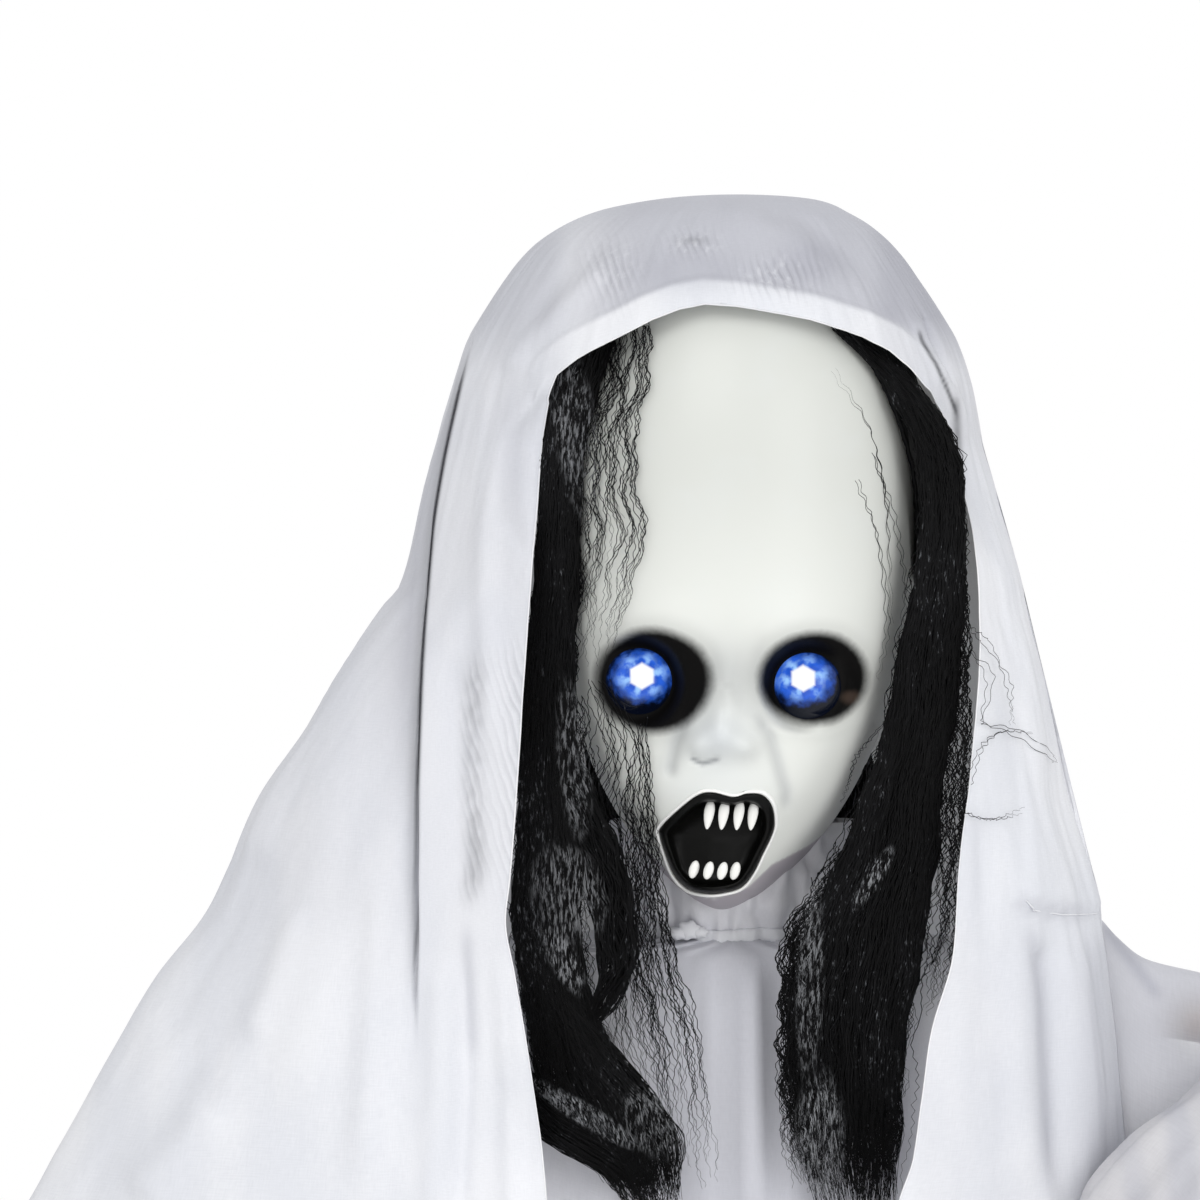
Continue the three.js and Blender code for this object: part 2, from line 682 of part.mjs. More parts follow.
function buildVeil() {
  const whole = veilSolid(0, 0)
    .subtract(veilSolid(VEIL_THICK, 6))
    .subtract(prism(FACE_OPENING, -300, VEIL_Y - 6))
    .subtract(bar(v3(0, 0, 30), v3(0, 0, -20), BUTTONHOLE_R))
    .subtract(box(400, 400, 500, RIGHT_HEM_X + 200, 0, RIGHT_HEM_Z - 250))
    .subtract(box(200, 300, 500, 100, VEIL_Y - 6 - 150, RIGHT_HEM_Z - 250));
  const above = box(900, 600, 400, 0, 0, SPLIT_Z + 200);
  const below = box(900, 600, 900, 0, 0, SPLIT_Z - GAP - 450);
  add("hood", largest(whole.intersect(above)), "gauze");
  const falls = whole.intersect(below);
  const outer = box(400, 600, 900, SPLIT_X - 200, 0, 0);
  const inner = box(600, 600, 1400, SPLIT_X + GAP + 300, 0, 0);
  add("veil_drape_left", largest(falls.intersect(outer)), "gauze");
  const rest = falls.intersect(inner).decompose();
  const front = (made) => made.boundingBox().min[1] < VEIL_Y - 50;
  const x = (made) => (made.boundingBox().min[0] + made.boundingBox().max[0]) / 2;
  const bySize = rest.sort((a, b) => b.volume() - a.volume());
  const back = bySize[0];
  const strips = bySize.slice(1).filter((m) => front(m) && m.volume() > 50);
  add("veil_fall_back", back, "gauze");
  strips.sort((a, b) => b.volume() - a.volume()).slice(0, 2).forEach((m) =>
    add(x(m) < 0 ? "veil_front_left" : "veil_front_right", m, "gauze"),
  );
}

// Dress

const DRESS_LEVELS = [
  // height, left and right reach, front, back
  [-253, 44, 38, 36], [-262, 38, 34, 32], [-264, 62, 40, 36], [-266, 100, 43, 40], [-270, 126, 45, 44],
  [-290, 133, 54, 50], [-352, 144, 60, 66], [-450, 148, 72, 74], [-600, 150, 86, 84],
  [-888, 140, 90, 90],
];
const DRESS_ROWS = [-254, -258, -262, -264, -266, -270, -290, -320, -352, -450, -600, -740, -880];
const DRESS_COLS = 32;
const DRESS_FOLDS = 8;

function dressSolid(inward, drop) {
  const rings = DRESS_ROWS.map((z, row) =>
    Array.from({ length: DRESS_COLS }, (_, k) => {
      const psi = (2 * Math.PI * k) / DRESS_COLS;
      const [, side, front, back] = level(DRESS_LEVELS, z);
      const [s, c] = [Math.sin(psi), Math.cos(psi)];
      const hang = Math.min(1, Math.max(0, (-270 - z) / 300));
      const fold = z < -270 ? (2 + 8 * hang) * Math.cos(DRESS_FOLDS * psi) : 0;
      const power = z < -265 ? 0.85 : 1;
      const x = (side + fold - inward) * Math.sign(s) * Math.pow(Math.abs(s), power);
      const y = ((c > 0 ? front : back) + fold - inward) * Math.sign(c) * Math.pow(Math.abs(c), power);
      const last = row === DRESS_ROWS.length - 1;
      const first = row === 0;
      const ends = last ? DRESS_HEM - z + 10 * Math.cos(DRESS_FOLDS * psi) - drop : first ? drop : 0;
      const deeper = !last && !first && z < -262 && z > -280 ? -inward : 0;
      return v3(x, BODY_Y - 2 - y, z + ends + deeper);
    }),
  );
  return loft(rings.reverse());
}

function buildDress() {
  let dress = dressSolid(0, 0).subtract(dressSolid(DRESS_THICK, 6));
  for (const arm of Object.values(ARMS)) {
    const at = v3(arm.side * SHOULDER_X, BODY_Y, SHOULDER_Z);
    const out = at.clone().add(v3(arm.side * 60, -4, -16));
    const reach = at.clone().add(v3(arm.side * 2, 0, -2));
    dress = dress.subtract(bar(reach, out, ARMHOLE_R));
  }
  add("dress", largest(dress), "gauze");
  const tie = wireRing(v3(0, BODY_Y - 2, TIE_Z), v3(0, 0, 1), COLLAR_R - 0.4, 1.4, 24, 6);
  const flat = solid(
    geometryOf(tie)
      .translate(0, -(BODY_Y - 2), 0)
      .scale(0.98, 0.94, 1)
      .translate(0, BODY_Y - 2, 0),
  );
  add("neck_ribbon", largest(flat.subtract(dressSolid(-GAP, 0))), "ribbon");
}

// Neck, crossbar and sound box

function buildNeck() {
  const at = (z) => v3(0, BODY_Y, z);
  const tube = bar(at(NECK_TOP), at(BOX_TOP + GAP), NECK_R, NECK_R, 24)
    .add(bar(at(NECK_TOP), at(NECK_TOP - NECK_FLANGE_THICK), NECK_FLANGE_R, NECK_FLANGE_R, 24))
    .subtract(bar(at(NECK_TOP + 2), at(BOX_TOP - 5), NECK_BORE, NECK_BORE, 20))
    .subtract(bar(v3(-CUT, BODY_Y, BAR_Z), v3(CUT, BODY_Y, BAR_Z), BAR_R + GAP));
  add("neck_tube", largest(tube), "plastic");
  let cross = bar(v3(-SHOULDER_X + FORK_R + 2, BODY_Y, BAR_Z), v3(SHOULDER_X - FORK_R - 2, BODY_Y, BAR_Z), BAR_R);
  for (const arm of Object.values(ARMS)) {
    const at = v3(arm.side * SHOULDER_X, BODY_Y, SHOULDER_Z);
    const width = TONGUE_THICK + 2 * FORK_THICK + 2 * GAP;
    const ear = bar(at.clone().add(v3(0, -width / 2, 0)), at.clone().add(v3(0, width / 2, 0)), FORK_R)
      .add(box(FORK_R + 4, width, FORK_R * 1.7, at.x - arm.side * (FORK_R / 2 + 3), at.y, (at.z + BAR_Z) / 2));
    const slot = box(2 * FORK_R + 8, TONGUE_THICK + 2 * GAP, 6 * FORK_R,
      at.x + arm.side * 3, at.y, at.z);
    const hole = bar(at.clone().add(v3(0, -20, 0)), at.clone().add(v3(0, 20, 0)), PIN_R + 0.3);
    cross = cross.add(ear).subtract(slot).subtract(hole);
  }
  add("shoulder_crossbar", cross, "plastic");
}

function buildSoundBox() {
  const [x, y, z] = [0, BODY_Y, BOX_TOP - BOX_H / 2];
  const back = y + BOX_D / 2;
  const cover = BOX_WALL;
  const bayZ = BOX_TOP - BOX_H + 6 + BAY_H / 2;
  let shell = box(BOX_W, BOX_D - cover - GAP, BOX_H, x, y - (cover + GAP) / 2, z)
    .subtract(box(BOX_W - 2 * BOX_WALL, BOX_D, BOX_H - 2 * BOX_WALL, x, y + BOX_WALL, z))
    .subtract(bar(v3(0, y, BOX_TOP + 5), v3(0, y, BOX_TOP - 6), NECK_BORE, NECK_BORE, 20));
  const speaker = v3(-14, y - BOX_D / 2, z - 6);
  for (let i = 0; i < 7; i++) {
    const at = speaker.clone();
    if (i) at.add(v3(9 * Math.cos((i * Math.PI) / 3), 0, 9 * Math.sin((i * Math.PI) / 3)));
    shell = shell.subtract(bar(at.clone().add(v3(0, -5, 0)), at.clone().add(v3(0, 5, 0)), 1.8, 1.8, 8));
  }
  const switchAt = v3(22, back, BOX_TOP - 11);
  const slot = box(12, 20, 5, switchAt.x, switchAt.y, switchAt.z);
  const lid = box(BOX_W, cover, BOX_H, x, back - cover / 2, z)
    .subtract(box(BAY_W, 20, BAY_H, x, back, bayZ))
    .subtract(slot);
  add("sound_box_case", shell, "plastic");
  const cone = speaker.clone().add(v3(0, BOX_WALL + GAP, 0));
  const driver = bar(cone, cone.clone().add(v3(0, 2.2, 0)), SPEAKER_R, SPEAKER_R, 24)
    .add(bar(cone.clone().add(v3(0, 2, 0)), cone.clone().add(v3(0, SPEAKER_DEEP, 0)), 9, 7, 18));
  add("speaker", driver, "cone");
  const boardY = cone.y + SPEAKER_DEEP + 0.6;
  const board = box(BOX_W - 2 * BOX_WALL - 1, 1.6, BOX_H - 2 * BOX_WALL - 1, x, boardY + 0.8, z);
  const chips = [[16, 16, 8, 6], [4, 16, 5, 5], [-24, 20, 6, 4]]
    .map(([dx, dz, w, h]) => box(w, 2.4, h, x + dx, boardY + 2.4, z + dz))
    .reduce((a, b) => a.add(b), board);
  add("circuit_board", chips, "board");
  const bayFront = boardY + 1.6 + GAP;
  const bayDeep = back - cover - GAP - bayFront;
  const tray = box(BAY_W, bayDeep, BAY_H, x, bayFront + bayDeep / 2, bayZ)
    .subtract(box(BAY_W - 2 * TRAY_WALL, bayDeep, BAY_H - 2 * TRAY_WALL, x, bayFront + bayDeep / 2 + TRAY_WALL, bayZ));
  add("battery_tray", tray, "plastic");
  const cellY = bayFront + TRAY_WALL + GAP + CELL_R;
  for (let i = 0; i < 3; i++) {
    const cz = bayZ + (i - 1) * CELL_PITCH;
    const way = i % 2 ? -1 : 1;
    const at = (l) => v3(x + way * l, cellY, cz);
    const cell = bar(at(-CELL_LONG / 2), at(CELL_LONG / 2 - 1), CELL_R, CELL_R, 18)
      .add(bar(at(CELL_LONG / 2 - 1.2), at(CELL_LONG / 2), 1.9, 1.9, 12));
    add(`battery_${i + 1}`, cell, "cell");
  }
  for (const [name, way] of [["left", -1], ["right", 1]]) {
    const wall = x + way * (BAY_W / 2 - TRAY_WALL - GAP - 0.3);
    let strip = box(0.6, 8, BAY_H - 2 * TRAY_WALL - 2, wall, cellY, bayZ);
    for (let i = 0; i < 3; i++) {
      const inner = x + way * (CELL_LONG / 2 + GAP);
      const at = (end) => v3(end, cellY, bayZ + (i - 1) * CELL_PITCH);
      strip = strip.add(bar(at(wall), at(inner), 4.2, 2.6, 12));
    }
    add(`battery_contacts_${name}`, strip, "steel");
  }
  add("sound_box_cover", lid, "plastic");
  const knob = box(5, 5, 4, switchAt.x - 3, back + 1, switchAt.z)
    .add(box(9, 1.4, 7, switchAt.x - 3, back - cover - GAP - 0.7, switchAt.z))
    .add(box(4, 3, 3.4, switchAt.x - 3, back - cover, switchAt.z));
  add("power_switch_knob", knob, "black");
  const doorW = BAY_W - 2 * GAP;
  const doorH = BAY_H - 2 * GAP;
  const hingeZ = bayZ - BAY_H / 2 + 1.8;
  const hingeY = back - cover / 2 + 0.6;
  const door = box(doorW, cover - 0.2, doorH - 2.4, x, back - cover / 2, bayZ + 1.2)
    .add(bar(v3(-doorW / 2, hingeY, hingeZ), v3(doorW / 2, hingeY, hingeZ), 1.3, 1.3, 12))
    .add(box(doorW, 1.2, 3, x, back - cover / 2, hingeZ + 1.2))
    .add(box(14, 1.4, 3, x, back + 0.4, bayZ + BAY_H / 2 - 4));
  add("battery_door", door, "plastic");
  return { hingeY, hingeZ };
}

// Arms

// A frame with X along the arm and Z along the elbow's pin.
function frameAt(origin, along, pin) {
  const x = along.clone().normalize();
  const z = pin.clone().normalize();
  const y = z.clone().cross(x);
  return new THREE.Matrix4().makeBasis(x, y, z).setPosition(origin);
}
const placed = (made, matrix) => solid(geometryOf(made).applyMatrix4(matrix));

function hand(side) {
  const ring = (x, y, z, w, d, sides = 8) =>
    Array.from({ length: sides }, (_, k) => {
      const turn = (2 * Math.PI * k) / sides;
      return v3(x, y + w * Math.cos(turn), z + d * Math.sin(turn));
    });
  let made = loft([
    ring(0, 0, 0, 7, 6), ring(6, 0, 0, 8, 6), ring(14, 0, 0, 14, 6), ring(PALM_LONG, 0, 1, 16, 5),
    ring(PALM_LONG + 3, 0, 1, 15, 4),
  ]);
  const fingers = [
    [-12, -0.28, 0.85], [-4.5, -0.08, 1], [3.5, 0.1, 0.97], [11.5, 0.3, 0.82],
  ];
  for (const [y, spread, share] of fingers) {
    const long = FINGER_LONG * share;
    const rings = [0, 0.34, 0.66, 0.86, 1].map((t, k) => {
      const drop = -13 * t * t;
      const r = [3.8, 3.4, 2.9, 2.2, 0.5][k];
      return ring(PALM_LONG - 2 + long * t, y + spread * long * t, 1 + drop, r, r, 6);
    });
    made = made.add(loft(rings));
  }
  const thumb = [0, 0.4, 0.48, 0.8, 1].map((t, k) => {
    const r = [4, 3, 3.5, 2.3, 0.5][k];
    return ring(9 + 30 * t, side * (-11 - 16 * t), -1 - 9 * t * t, r, r, 6);
  });
  return made.add(loft(thumb));
}

function buildArm(name, arm) {
  const shoulder = v3(arm.side * SHOULDER_X, BODY_Y, SHOULDER_Z);
  const elbow = v3(...arm.elbow);
  const wrist = v3(...arm.wrist);
  const upper = elbow.clone().sub(shoulder);
  const fore = wrist.clone().sub(elbow);
  const pin = upper.clone().cross(fore).normalize();
  const out = upper.clone().normalize();
  const down = fore.clone().normalize();
  const half = TONGUE_THICK / 2;
  const forkHalf = half + GAP + FORK_THICK;
  const flat = out.clone().setY(0).normalize();
  const tongue = bar(shoulder.clone().add(v3(0, -half, 0)), shoulder.clone().add(v3(0, half, 0)), FORK_R - 0.6)
    .add(placed(box(FORK_R + 8, TONGUE_THICK, 8, (FORK_R + 8) / 2, 0, 0),
      frameAt(shoulder, flat, flat.clone().cross(v3(0, 1, 0)))))
    .subtract(bar(shoulder.clone().add(v3(0, -20, 0)), shoulder.clone().add(v3(0, 20, 0)), PIN_R + 0.3));
  const rodStart = shoulder.clone().addScaledVector(flat, FORK_R + 5);
  const rodEnd = elbow.clone().addScaledVector(out, -FORK_R - 3);
  const rod = bar(rodStart, rodEnd, ROD_R);
  const elbowFrame = frameAt(elbow, out, pin);
  const fork = bar(v3(0, 0, -forkHalf), v3(0, 0, forkHalf), FORK_R)
    .add(box(FORK_R + 6, 9, 2 * forkHalf, -(FORK_R + 6) / 2, 0, 0))
    .subtract(box(2 * FORK_R + 6, 4 * FORK_R, TONGUE_THICK + 2 * GAP, 2, 0, 0))
    .subtract(bar(v3(0, 0, -20), v3(0, 0, 20), PIN_R + 0.3));
  add(`upper_arm_${name}`, tongue.add(rod).add(placed(fork, elbowFrame)), "plastic");
  const padStart = rodStart.clone().addScaledVector(out, 8);
  const padEnd = rodEnd.clone().addScaledVector(out, -12);
  add(`arm_foam_${name}`,
    bar(padStart, padEnd, PAD_R, PAD_R, 16)
      .subtract(bar(padStart.clone().addScaledVector(out, -5), padEnd.clone().addScaledVector(out, 5), ROD_R + GAP, ROD_R + GAP, 16)),
    "foam");
  const foreFrame = frameAt(elbow, down, pin);
  const long = fore.length();
  const foreArm = bar(v3(0, 0, -half), v3(0, 0, half), FORK_R - 0.6)
    .add(box(FORK_R + 6, 8, TONGUE_THICK, (FORK_R + 6) / 2, 0, 0))
    .add(bar(v3(FORK_R + 3, 0, 0), v3(long + 9, 0, 0), ROD_R - 0.5))
    .add(bar(v3(FORK_R + 9, 0, 0), v3(long - 4, 0, 0), FOREARM_R, FOREARM_R - 2))
    .subtract(bar(v3(0, 0, -20), v3(0, 0, 20), PIN_R + 0.3));
  add(`forearm_${name}`, placed(foreArm, foreFrame), "plastic");
  const handWay = v3(...arm.handWay).normalize();
  const handFrame = frameAt(wrist, handWay, handWay.clone().cross(v3(...arm.palmWay)));
  const wristRod = ROD_R - 0.5 + GAP;
  const socket = placed(bar(v3(long - 30, 0, 0), v3(long + 9 + GAP, 0, 0), wristRod), foreFrame);
  const clearOfForearm = placed(bar(v3(0, 0, 0), v3(long - 4 + GAP, 0, 0), FOREARM_R + 1), foreFrame);
  const made = placed(hand(arm.side), handFrame).subtract(socket).subtract(clearOfForearm);
  add(`hand_${name}`, largest(made), "claw");
  const pinBody = (at, axis, reach) =>
    bar(at.clone().addScaledVector(axis, -reach), at.clone().addScaledVector(axis, reach), PIN_R, PIN_R, 14)
      .add(bar(at.clone().addScaledVector(axis, reach - 0.4), at.clone().addScaledVector(axis, reach + 1.6), PIN_R + 1.6, PIN_R + 1.2, 14))
      .add(bar(at.clone().addScaledVector(axis, -reach + 0.4), at.clone().addScaledVector(axis, -reach - 1.6), PIN_R + 1.6, PIN_R + 1.2, 14));
  add(`shoulder_pin_${name}`, pinBody(shoulder, v3(0, 1, 0), forkHalf + GAP + 0.5), "steel");
  add(`elbow_pin_${name}`, pinBody(elbow, pin, forkHalf + GAP + 0.5), "steel");
  buildSleeves(name, arm, { shoulder, elbow, out, down, pin, padStart, padEnd });
  return { shoulder, elbow, pin };
}

// Sleeves: a wide wing hanging from the upper arm, and a bell on the forearm

const SLEEVE_THICK = 1.8;
const WING_DROP = 118;

function wing(start, along, long, inward) {
  const level = along.clone().setZ(0).normalize();
  const across = v3(0, 0, 1).cross(level).normalize();
  const rings = [0, 0.25, 0.5, 0.75, 1].map((t) => {
    const at = start.clone().addScaledVector(along, long * t);
    const drop = WING_DROP * (0.75 + 0.25 * t) + 8 * Math.cos(t * 9);
    const r = PAD_R + 3.4 - inward;
    const ring = [];
    for (let k = 0; k <= 8; k++) {
      const turn = (Math.PI * k) / 8;
      ring.push(at.clone().addScaledVector(across, r * Math.cos(turn)).add(v3(0, 0, r * Math.sin(turn))));
    }
    const open = 12 + 6 * Math.sin(7 * t);
    const front = 0.04 + 0.96 * THREE.MathUtils.smoothstep(0.75 - t, 0, 0.6);
    for (const [side, k] of [[-1, 1], [-1, 2], [-1, 3], [1, 3], [1, 2], [1, 1]]) {
      const share = k / 3;
      const end = k === 3 ? inward * 3 : 0;
      const length = across.y * side < 0 ? drop * front : drop;
      ring.push(
        at.clone()
          .addScaledVector(across, side * (r + (across.y * side < 0 ? 2 : open) * share * share))
          .add(v3(0, 0, -length * share - end)),
      );
    }
    return ring;
  });
  return loft(rings);
}

function buildSleeves(name, arm, { shoulder, elbow, out, down, pin, padStart, padEnd }) {
  const start = shoulder.clone().addScaledVector(out, 35);
  const long = elbow.distanceTo(shoulder) - 60;
  const outer = wing(start, out, long, 0);
  const inner = wing(start.clone().addScaledVector(out, -6), out, long + 12, SLEEVE_THICK);
  if (arm.side > 0) add(`sleeve_${name}`, largest(outer.subtract(inner)), "gauze");
  else {
    const r = PAD_R + GAP + SLEEVE_THICK;
    const along = (t) => padStart.clone().lerp(padEnd, t);
    const tube = bar(along(0.2), along(0.95), r).subtract(
      bar(along(0), along(1.1), r - SLEEVE_THICK),
    );
    add(`sleeve_${name}`, tube, "gauze");
  }
  const frame = frameAt(elbow, down, pin);
  const bell = (inward) => {
    const ring = (x, r) =>
      Array.from({ length: 18 }, (_, k) => {
        const turn = (2 * Math.PI * k) / 18;
        const wave = r > 14 ? 2 * Math.cos(6 * turn) : 0;
        return v3(x, (r + wave - inward) * Math.cos(turn), (r + wave - inward) * Math.sin(turn));
      });
    const from = FORK_R + 10 - inward * 2;
    return placed(loft([ring(from, FOREARM_R + GAP + SLEEVE_THICK), ring(from + 22, 14.5), ring(from + 45, 20), ring(from + 62 + inward * 4, 24)]), frame);
  };
  add(`cuff_${name}`, bell(0).subtract(bell(SLEEVE_THICK)), "gauze");
}

buildHeadShells();
buildEyes();
buildMouth();
buildHanger();
buildHair();
buildVeil();
buildDress();
buildNeck();
buildSoundBox();
for (const [name, arm] of Object.entries(ARMS)) buildArm(name, arm);

export default ghost;
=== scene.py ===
"""Looks for a hanging ghost decoration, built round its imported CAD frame.

Sizes are in millimetres in the frame's own axes: the face looks along -Y and +X is the viewer's right.
"""

import math

import bmesh
import bpy
import numpy as np
from mathutils import Matrix, Vector


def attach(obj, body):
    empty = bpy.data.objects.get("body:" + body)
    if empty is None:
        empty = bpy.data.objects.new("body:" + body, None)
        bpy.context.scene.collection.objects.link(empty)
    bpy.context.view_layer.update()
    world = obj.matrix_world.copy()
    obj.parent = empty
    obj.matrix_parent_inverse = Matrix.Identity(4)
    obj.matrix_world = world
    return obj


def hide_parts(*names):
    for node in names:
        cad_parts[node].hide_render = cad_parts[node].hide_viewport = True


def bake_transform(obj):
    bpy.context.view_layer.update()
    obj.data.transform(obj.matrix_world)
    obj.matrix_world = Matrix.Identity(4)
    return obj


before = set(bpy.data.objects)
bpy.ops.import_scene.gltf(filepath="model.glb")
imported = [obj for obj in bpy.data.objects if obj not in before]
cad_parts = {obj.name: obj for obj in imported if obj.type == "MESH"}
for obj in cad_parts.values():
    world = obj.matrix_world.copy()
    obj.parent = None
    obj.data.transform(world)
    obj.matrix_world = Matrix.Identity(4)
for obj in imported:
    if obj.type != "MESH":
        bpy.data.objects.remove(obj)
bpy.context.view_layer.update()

MM = 0.001
ROOT = "figure"

# The photograph's view
PHOTO_PIXELS = 1200
MM_PER_PIXEL = 0.36
CAMERA_X = -48.6
CAMERA_Z = -142.0
CAMERA_Y = -1630.0
FACE_PLANE_Y = -30.0
SENSOR = 36.0

# The head, as in the frame
HEAD_Y = -30.0
HEAD_Z = -103.0
HEAD_YAW = math.radians(4)
HEAD_ROLL = math.radians(1.5)
SKULL_HALF_WIDTH = 66.0
SKULL_UP = 98.0
SKULL_DOWN = 150.0
SKULL_FRONT = 80.0
SKULL_BACK = 76.0
BODY_Y = -10.0


# Numbers


def smooth(t):
    t = np.clip(t, 0.0, 1.0)
    return t * t * (3 - 2 * t)


class Profile:
    """Rows of (height, value, ...), from the top down, joined by smooth curves."""

    def __init__(self, rows):
        rows = np.array(sorted(map(tuple, rows)), float)
        self.at, self.values = rows[:, 0], rows[:, 1:]
        step = np.diff(self.at)[:, None]
        slope = np.diff(self.values, axis=0) / step
        self.slopes = np.zeros_like(self.values)
        self.slopes[0], self.slopes[-1] = slope[0], slope[-1]
        same_way = slope[1:] * slope[:-1] > 0
        mean = 2 * slope[1:] * slope[:-1] / np.where(same_way, slope[1:] + slope[:-1], 1)
        self.slopes[1:-1] = np.where(same_way, mean, 0)

    def __call__(self, z):
        z = np.clip(np.asarray(z, float), self.at[0], self.at[-1])
        i = np.clip(np.searchsorted(self.at, z) - 1, 0, len(self.at) - 2)
        step = self.at[i + 1] - self.at[i]
        t = ((z - self.at[i]) / step)[..., None]
        a, b = self.values[i], self.values[i + 1]
        sa = self.slopes[i] * step[..., None]
        sb = self.slopes[i + 1] * step[..., None]
        return (
            (2 * t**3 - 3 * t**2 + 1) * a + (t**3 - 2 * t**2 + t) * sa
            + (3 * t**2 - 2 * t**3) * b + (t**3 - t**2) * sb
        )

    def columns(self, z):
        return np.moveaxis(self(z), -1, 0)

    def first(self, z):
        return self.columns(z)[0]


def spaced(rows):
    """A profile whose rows lie evenly from 0 to 1."""
    return Profile(np.column_stack([np.linspace(0, 1, len(rows)), rows]))


def waves(u, v, seed):
    """Smooth random waves from -1 to 1, about one wave for each unit of u and v."""
    lattice = np.random.default_rng(seed).uniform(-1, 1, (64, 64))
    iu, iv = np.floor(u).astype(int), np.floor(v).astype(int)
    fu, fv = smooth(u - iu), smooth(v - iv)
    corner = lambda a, b: lattice[a % 64, b % 64]
    upper = corner(iu, iv) * (1 - fu) + corner(iu + 1, iv) * fu
    lower = corner(iu, iv + 1) * (1 - fu) + corner(iu + 1, iv + 1) * fu
    return upper * (1 - fv) + lower * fv


def seen(x, y, z):
    """Where a place appears on the face's plane, from the photograph's point of view."""
    k = (FACE_PLANE_Y - CAMERA_Y) / (y - CAMERA_Y)
    return CAMERA_X + (x - CAMERA_X) * k, CAMERA_Z + (z - CAMERA_Z) * k


def at_depth(x, z, y):
    """The place at depth y that appears at (x, z) on the face's plane."""
    k = (y - CAMERA_Y) / (FACE_PLANE_Y - CAMERA_Y)
    return CAMERA_X + (x - CAMERA_X) * k, CAMERA_Z + (z - CAMERA_Z) * k


def bell(t):
    return np.exp(-(t**2))


def ridge(x, z, line, half):
    """1 along a line, falling off to each side, and fading out at its ends."""
    far, share = from_line(x, z, line)
    return bell(far / half) * smooth(share / 0.2 + 0.1) * smooth((1 - share) / 0.2 + 0.1)


def ridges(x, z, lines):
    """The sum of several ridges, each with its line, half width and height."""
    return sum(height * ridge(x, z, line, half) for line, half, height in lines)


def lump(x, z, cx, cz, sx, sz):
    return np.exp(-(((x - cx) / sx) ** 2) - ((z - cz) / sz) ** 2)


def lumps(x, z, rows):
    """The sum of several lumps, each with its middle, half sizes and height."""
    return sum(height * lump(x, z, *row) for *row, height in rows)


def from_line(x, z, points):
    """How far each place is from a line, and how much of the line lies before that spot."""
    best = np.full(np.shape(x), 1e9)
    share = np.zeros(np.shape(x))
    for k, ((ax, az), (bx, bz)) in enumerate(zip(points, points[1:])):
        dx, dz = bx - ax, bz - az
        t = np.clip(((x - ax) * dx + (z - az) * dz) / (dx * dx + dz * dz), 0, 1)
        rx, rz = x - ax - t * dx, z - az - t * dz
        far = np.hypot(rx, rz)
        nearer = far < best
        best = np.where(nearer, far, best)
        share = np.where(nearer, (k + t) / (len(points) - 1), share)
    return best, share


# Meshes


WELD = 0.02


def grid_mesh(columns, rows, place, size, drop_face=None, lay_flat=None):
    """A sheet of columns by rows, set in place by a function of across and down, each 0 to 1.
    size is its flat width and length, which its UV map is measured in, unless lay_flat gives it."""
    bm = bmesh.new()
    bmesh.ops.create_grid(bm, x_segments=columns, y_segments=rows, size=0.5)
    flat = np.array([v.co for v in bm.verts]) + 0.5
    across, down = flat[:, 0], 1 - flat[:, 1]
    spots = np.stack(place(across, down), axis=1)
    if lay_flat:
        u, v = lay_flat(across, *spots.T)
    else:
        u, v = across * size[0], down * size[1]
    uv = bm.loops.layers.uv.new("flat")
    for face in bm.faces:
        for loop in face.loops:
            i = loop.vert.index
            loop[uv].uv = (u[i] * MM, v[i] * MM)
    corners = np.array([[v.index for v in f.verts] for f in bm.faces])
    for v, spot in zip(bm.verts, spots * MM):
        v.co = spot
    if drop_face:
        gone = drop_face(across[corners].mean(axis=1), down[corners].mean(axis=1))
        doomed = [f for f, out in zip(bm.faces, gone) if out]
        bmesh.ops.delete(bm, geom=doomed, context="FACES")
    bmesh.ops.remove_doubles(bm, verts=bm.verts, dist=WELD * MM)
    return outward(bm)


def into_scene(name, mesh, finish, body):
    """Makes a mesh an object of the scene that rides on a body."""
    mesh.shade_smooth()
    mesh.materials.clear()
    mesh.materials.append(finish)
    made = bpy.data.objects.new(name, mesh)
    bpy.context.scene.collection.objects.link(made)
    if body:
        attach(made, body)
    return made


def piece(name, bm, finish, body=ROOT):
    """Makes a piece of what is built in bm, which is used up."""
    mesh = bpy.data.meshes.new(name)
    bm.to_mesh(mesh)
    bm.free()
    return into_scene(name, mesh, finish, body)


def mark(made, values):
    """Keeps three values from 0 to 1 at each point of a piece, for its finish to read."""
    mesh = made.data
    spots = np.empty(len(mesh.vertices) * 3)
    mesh.vertices.foreach_get("co", spots)
    x, y, z = spots.reshape(-1, 3).T / MM
    marks = mesh.attributes.new("marks", "FLOAT_VECTOR", "POINT")
    marks.data.foreach_set("vector", np.clip(np.stack(values(x, y, z), axis=1), 0, 1).ravel())
    return made


def outward(bm):
    bmesh.ops.recalc_face_normals(bm, faces=bm.faces)
    return bm


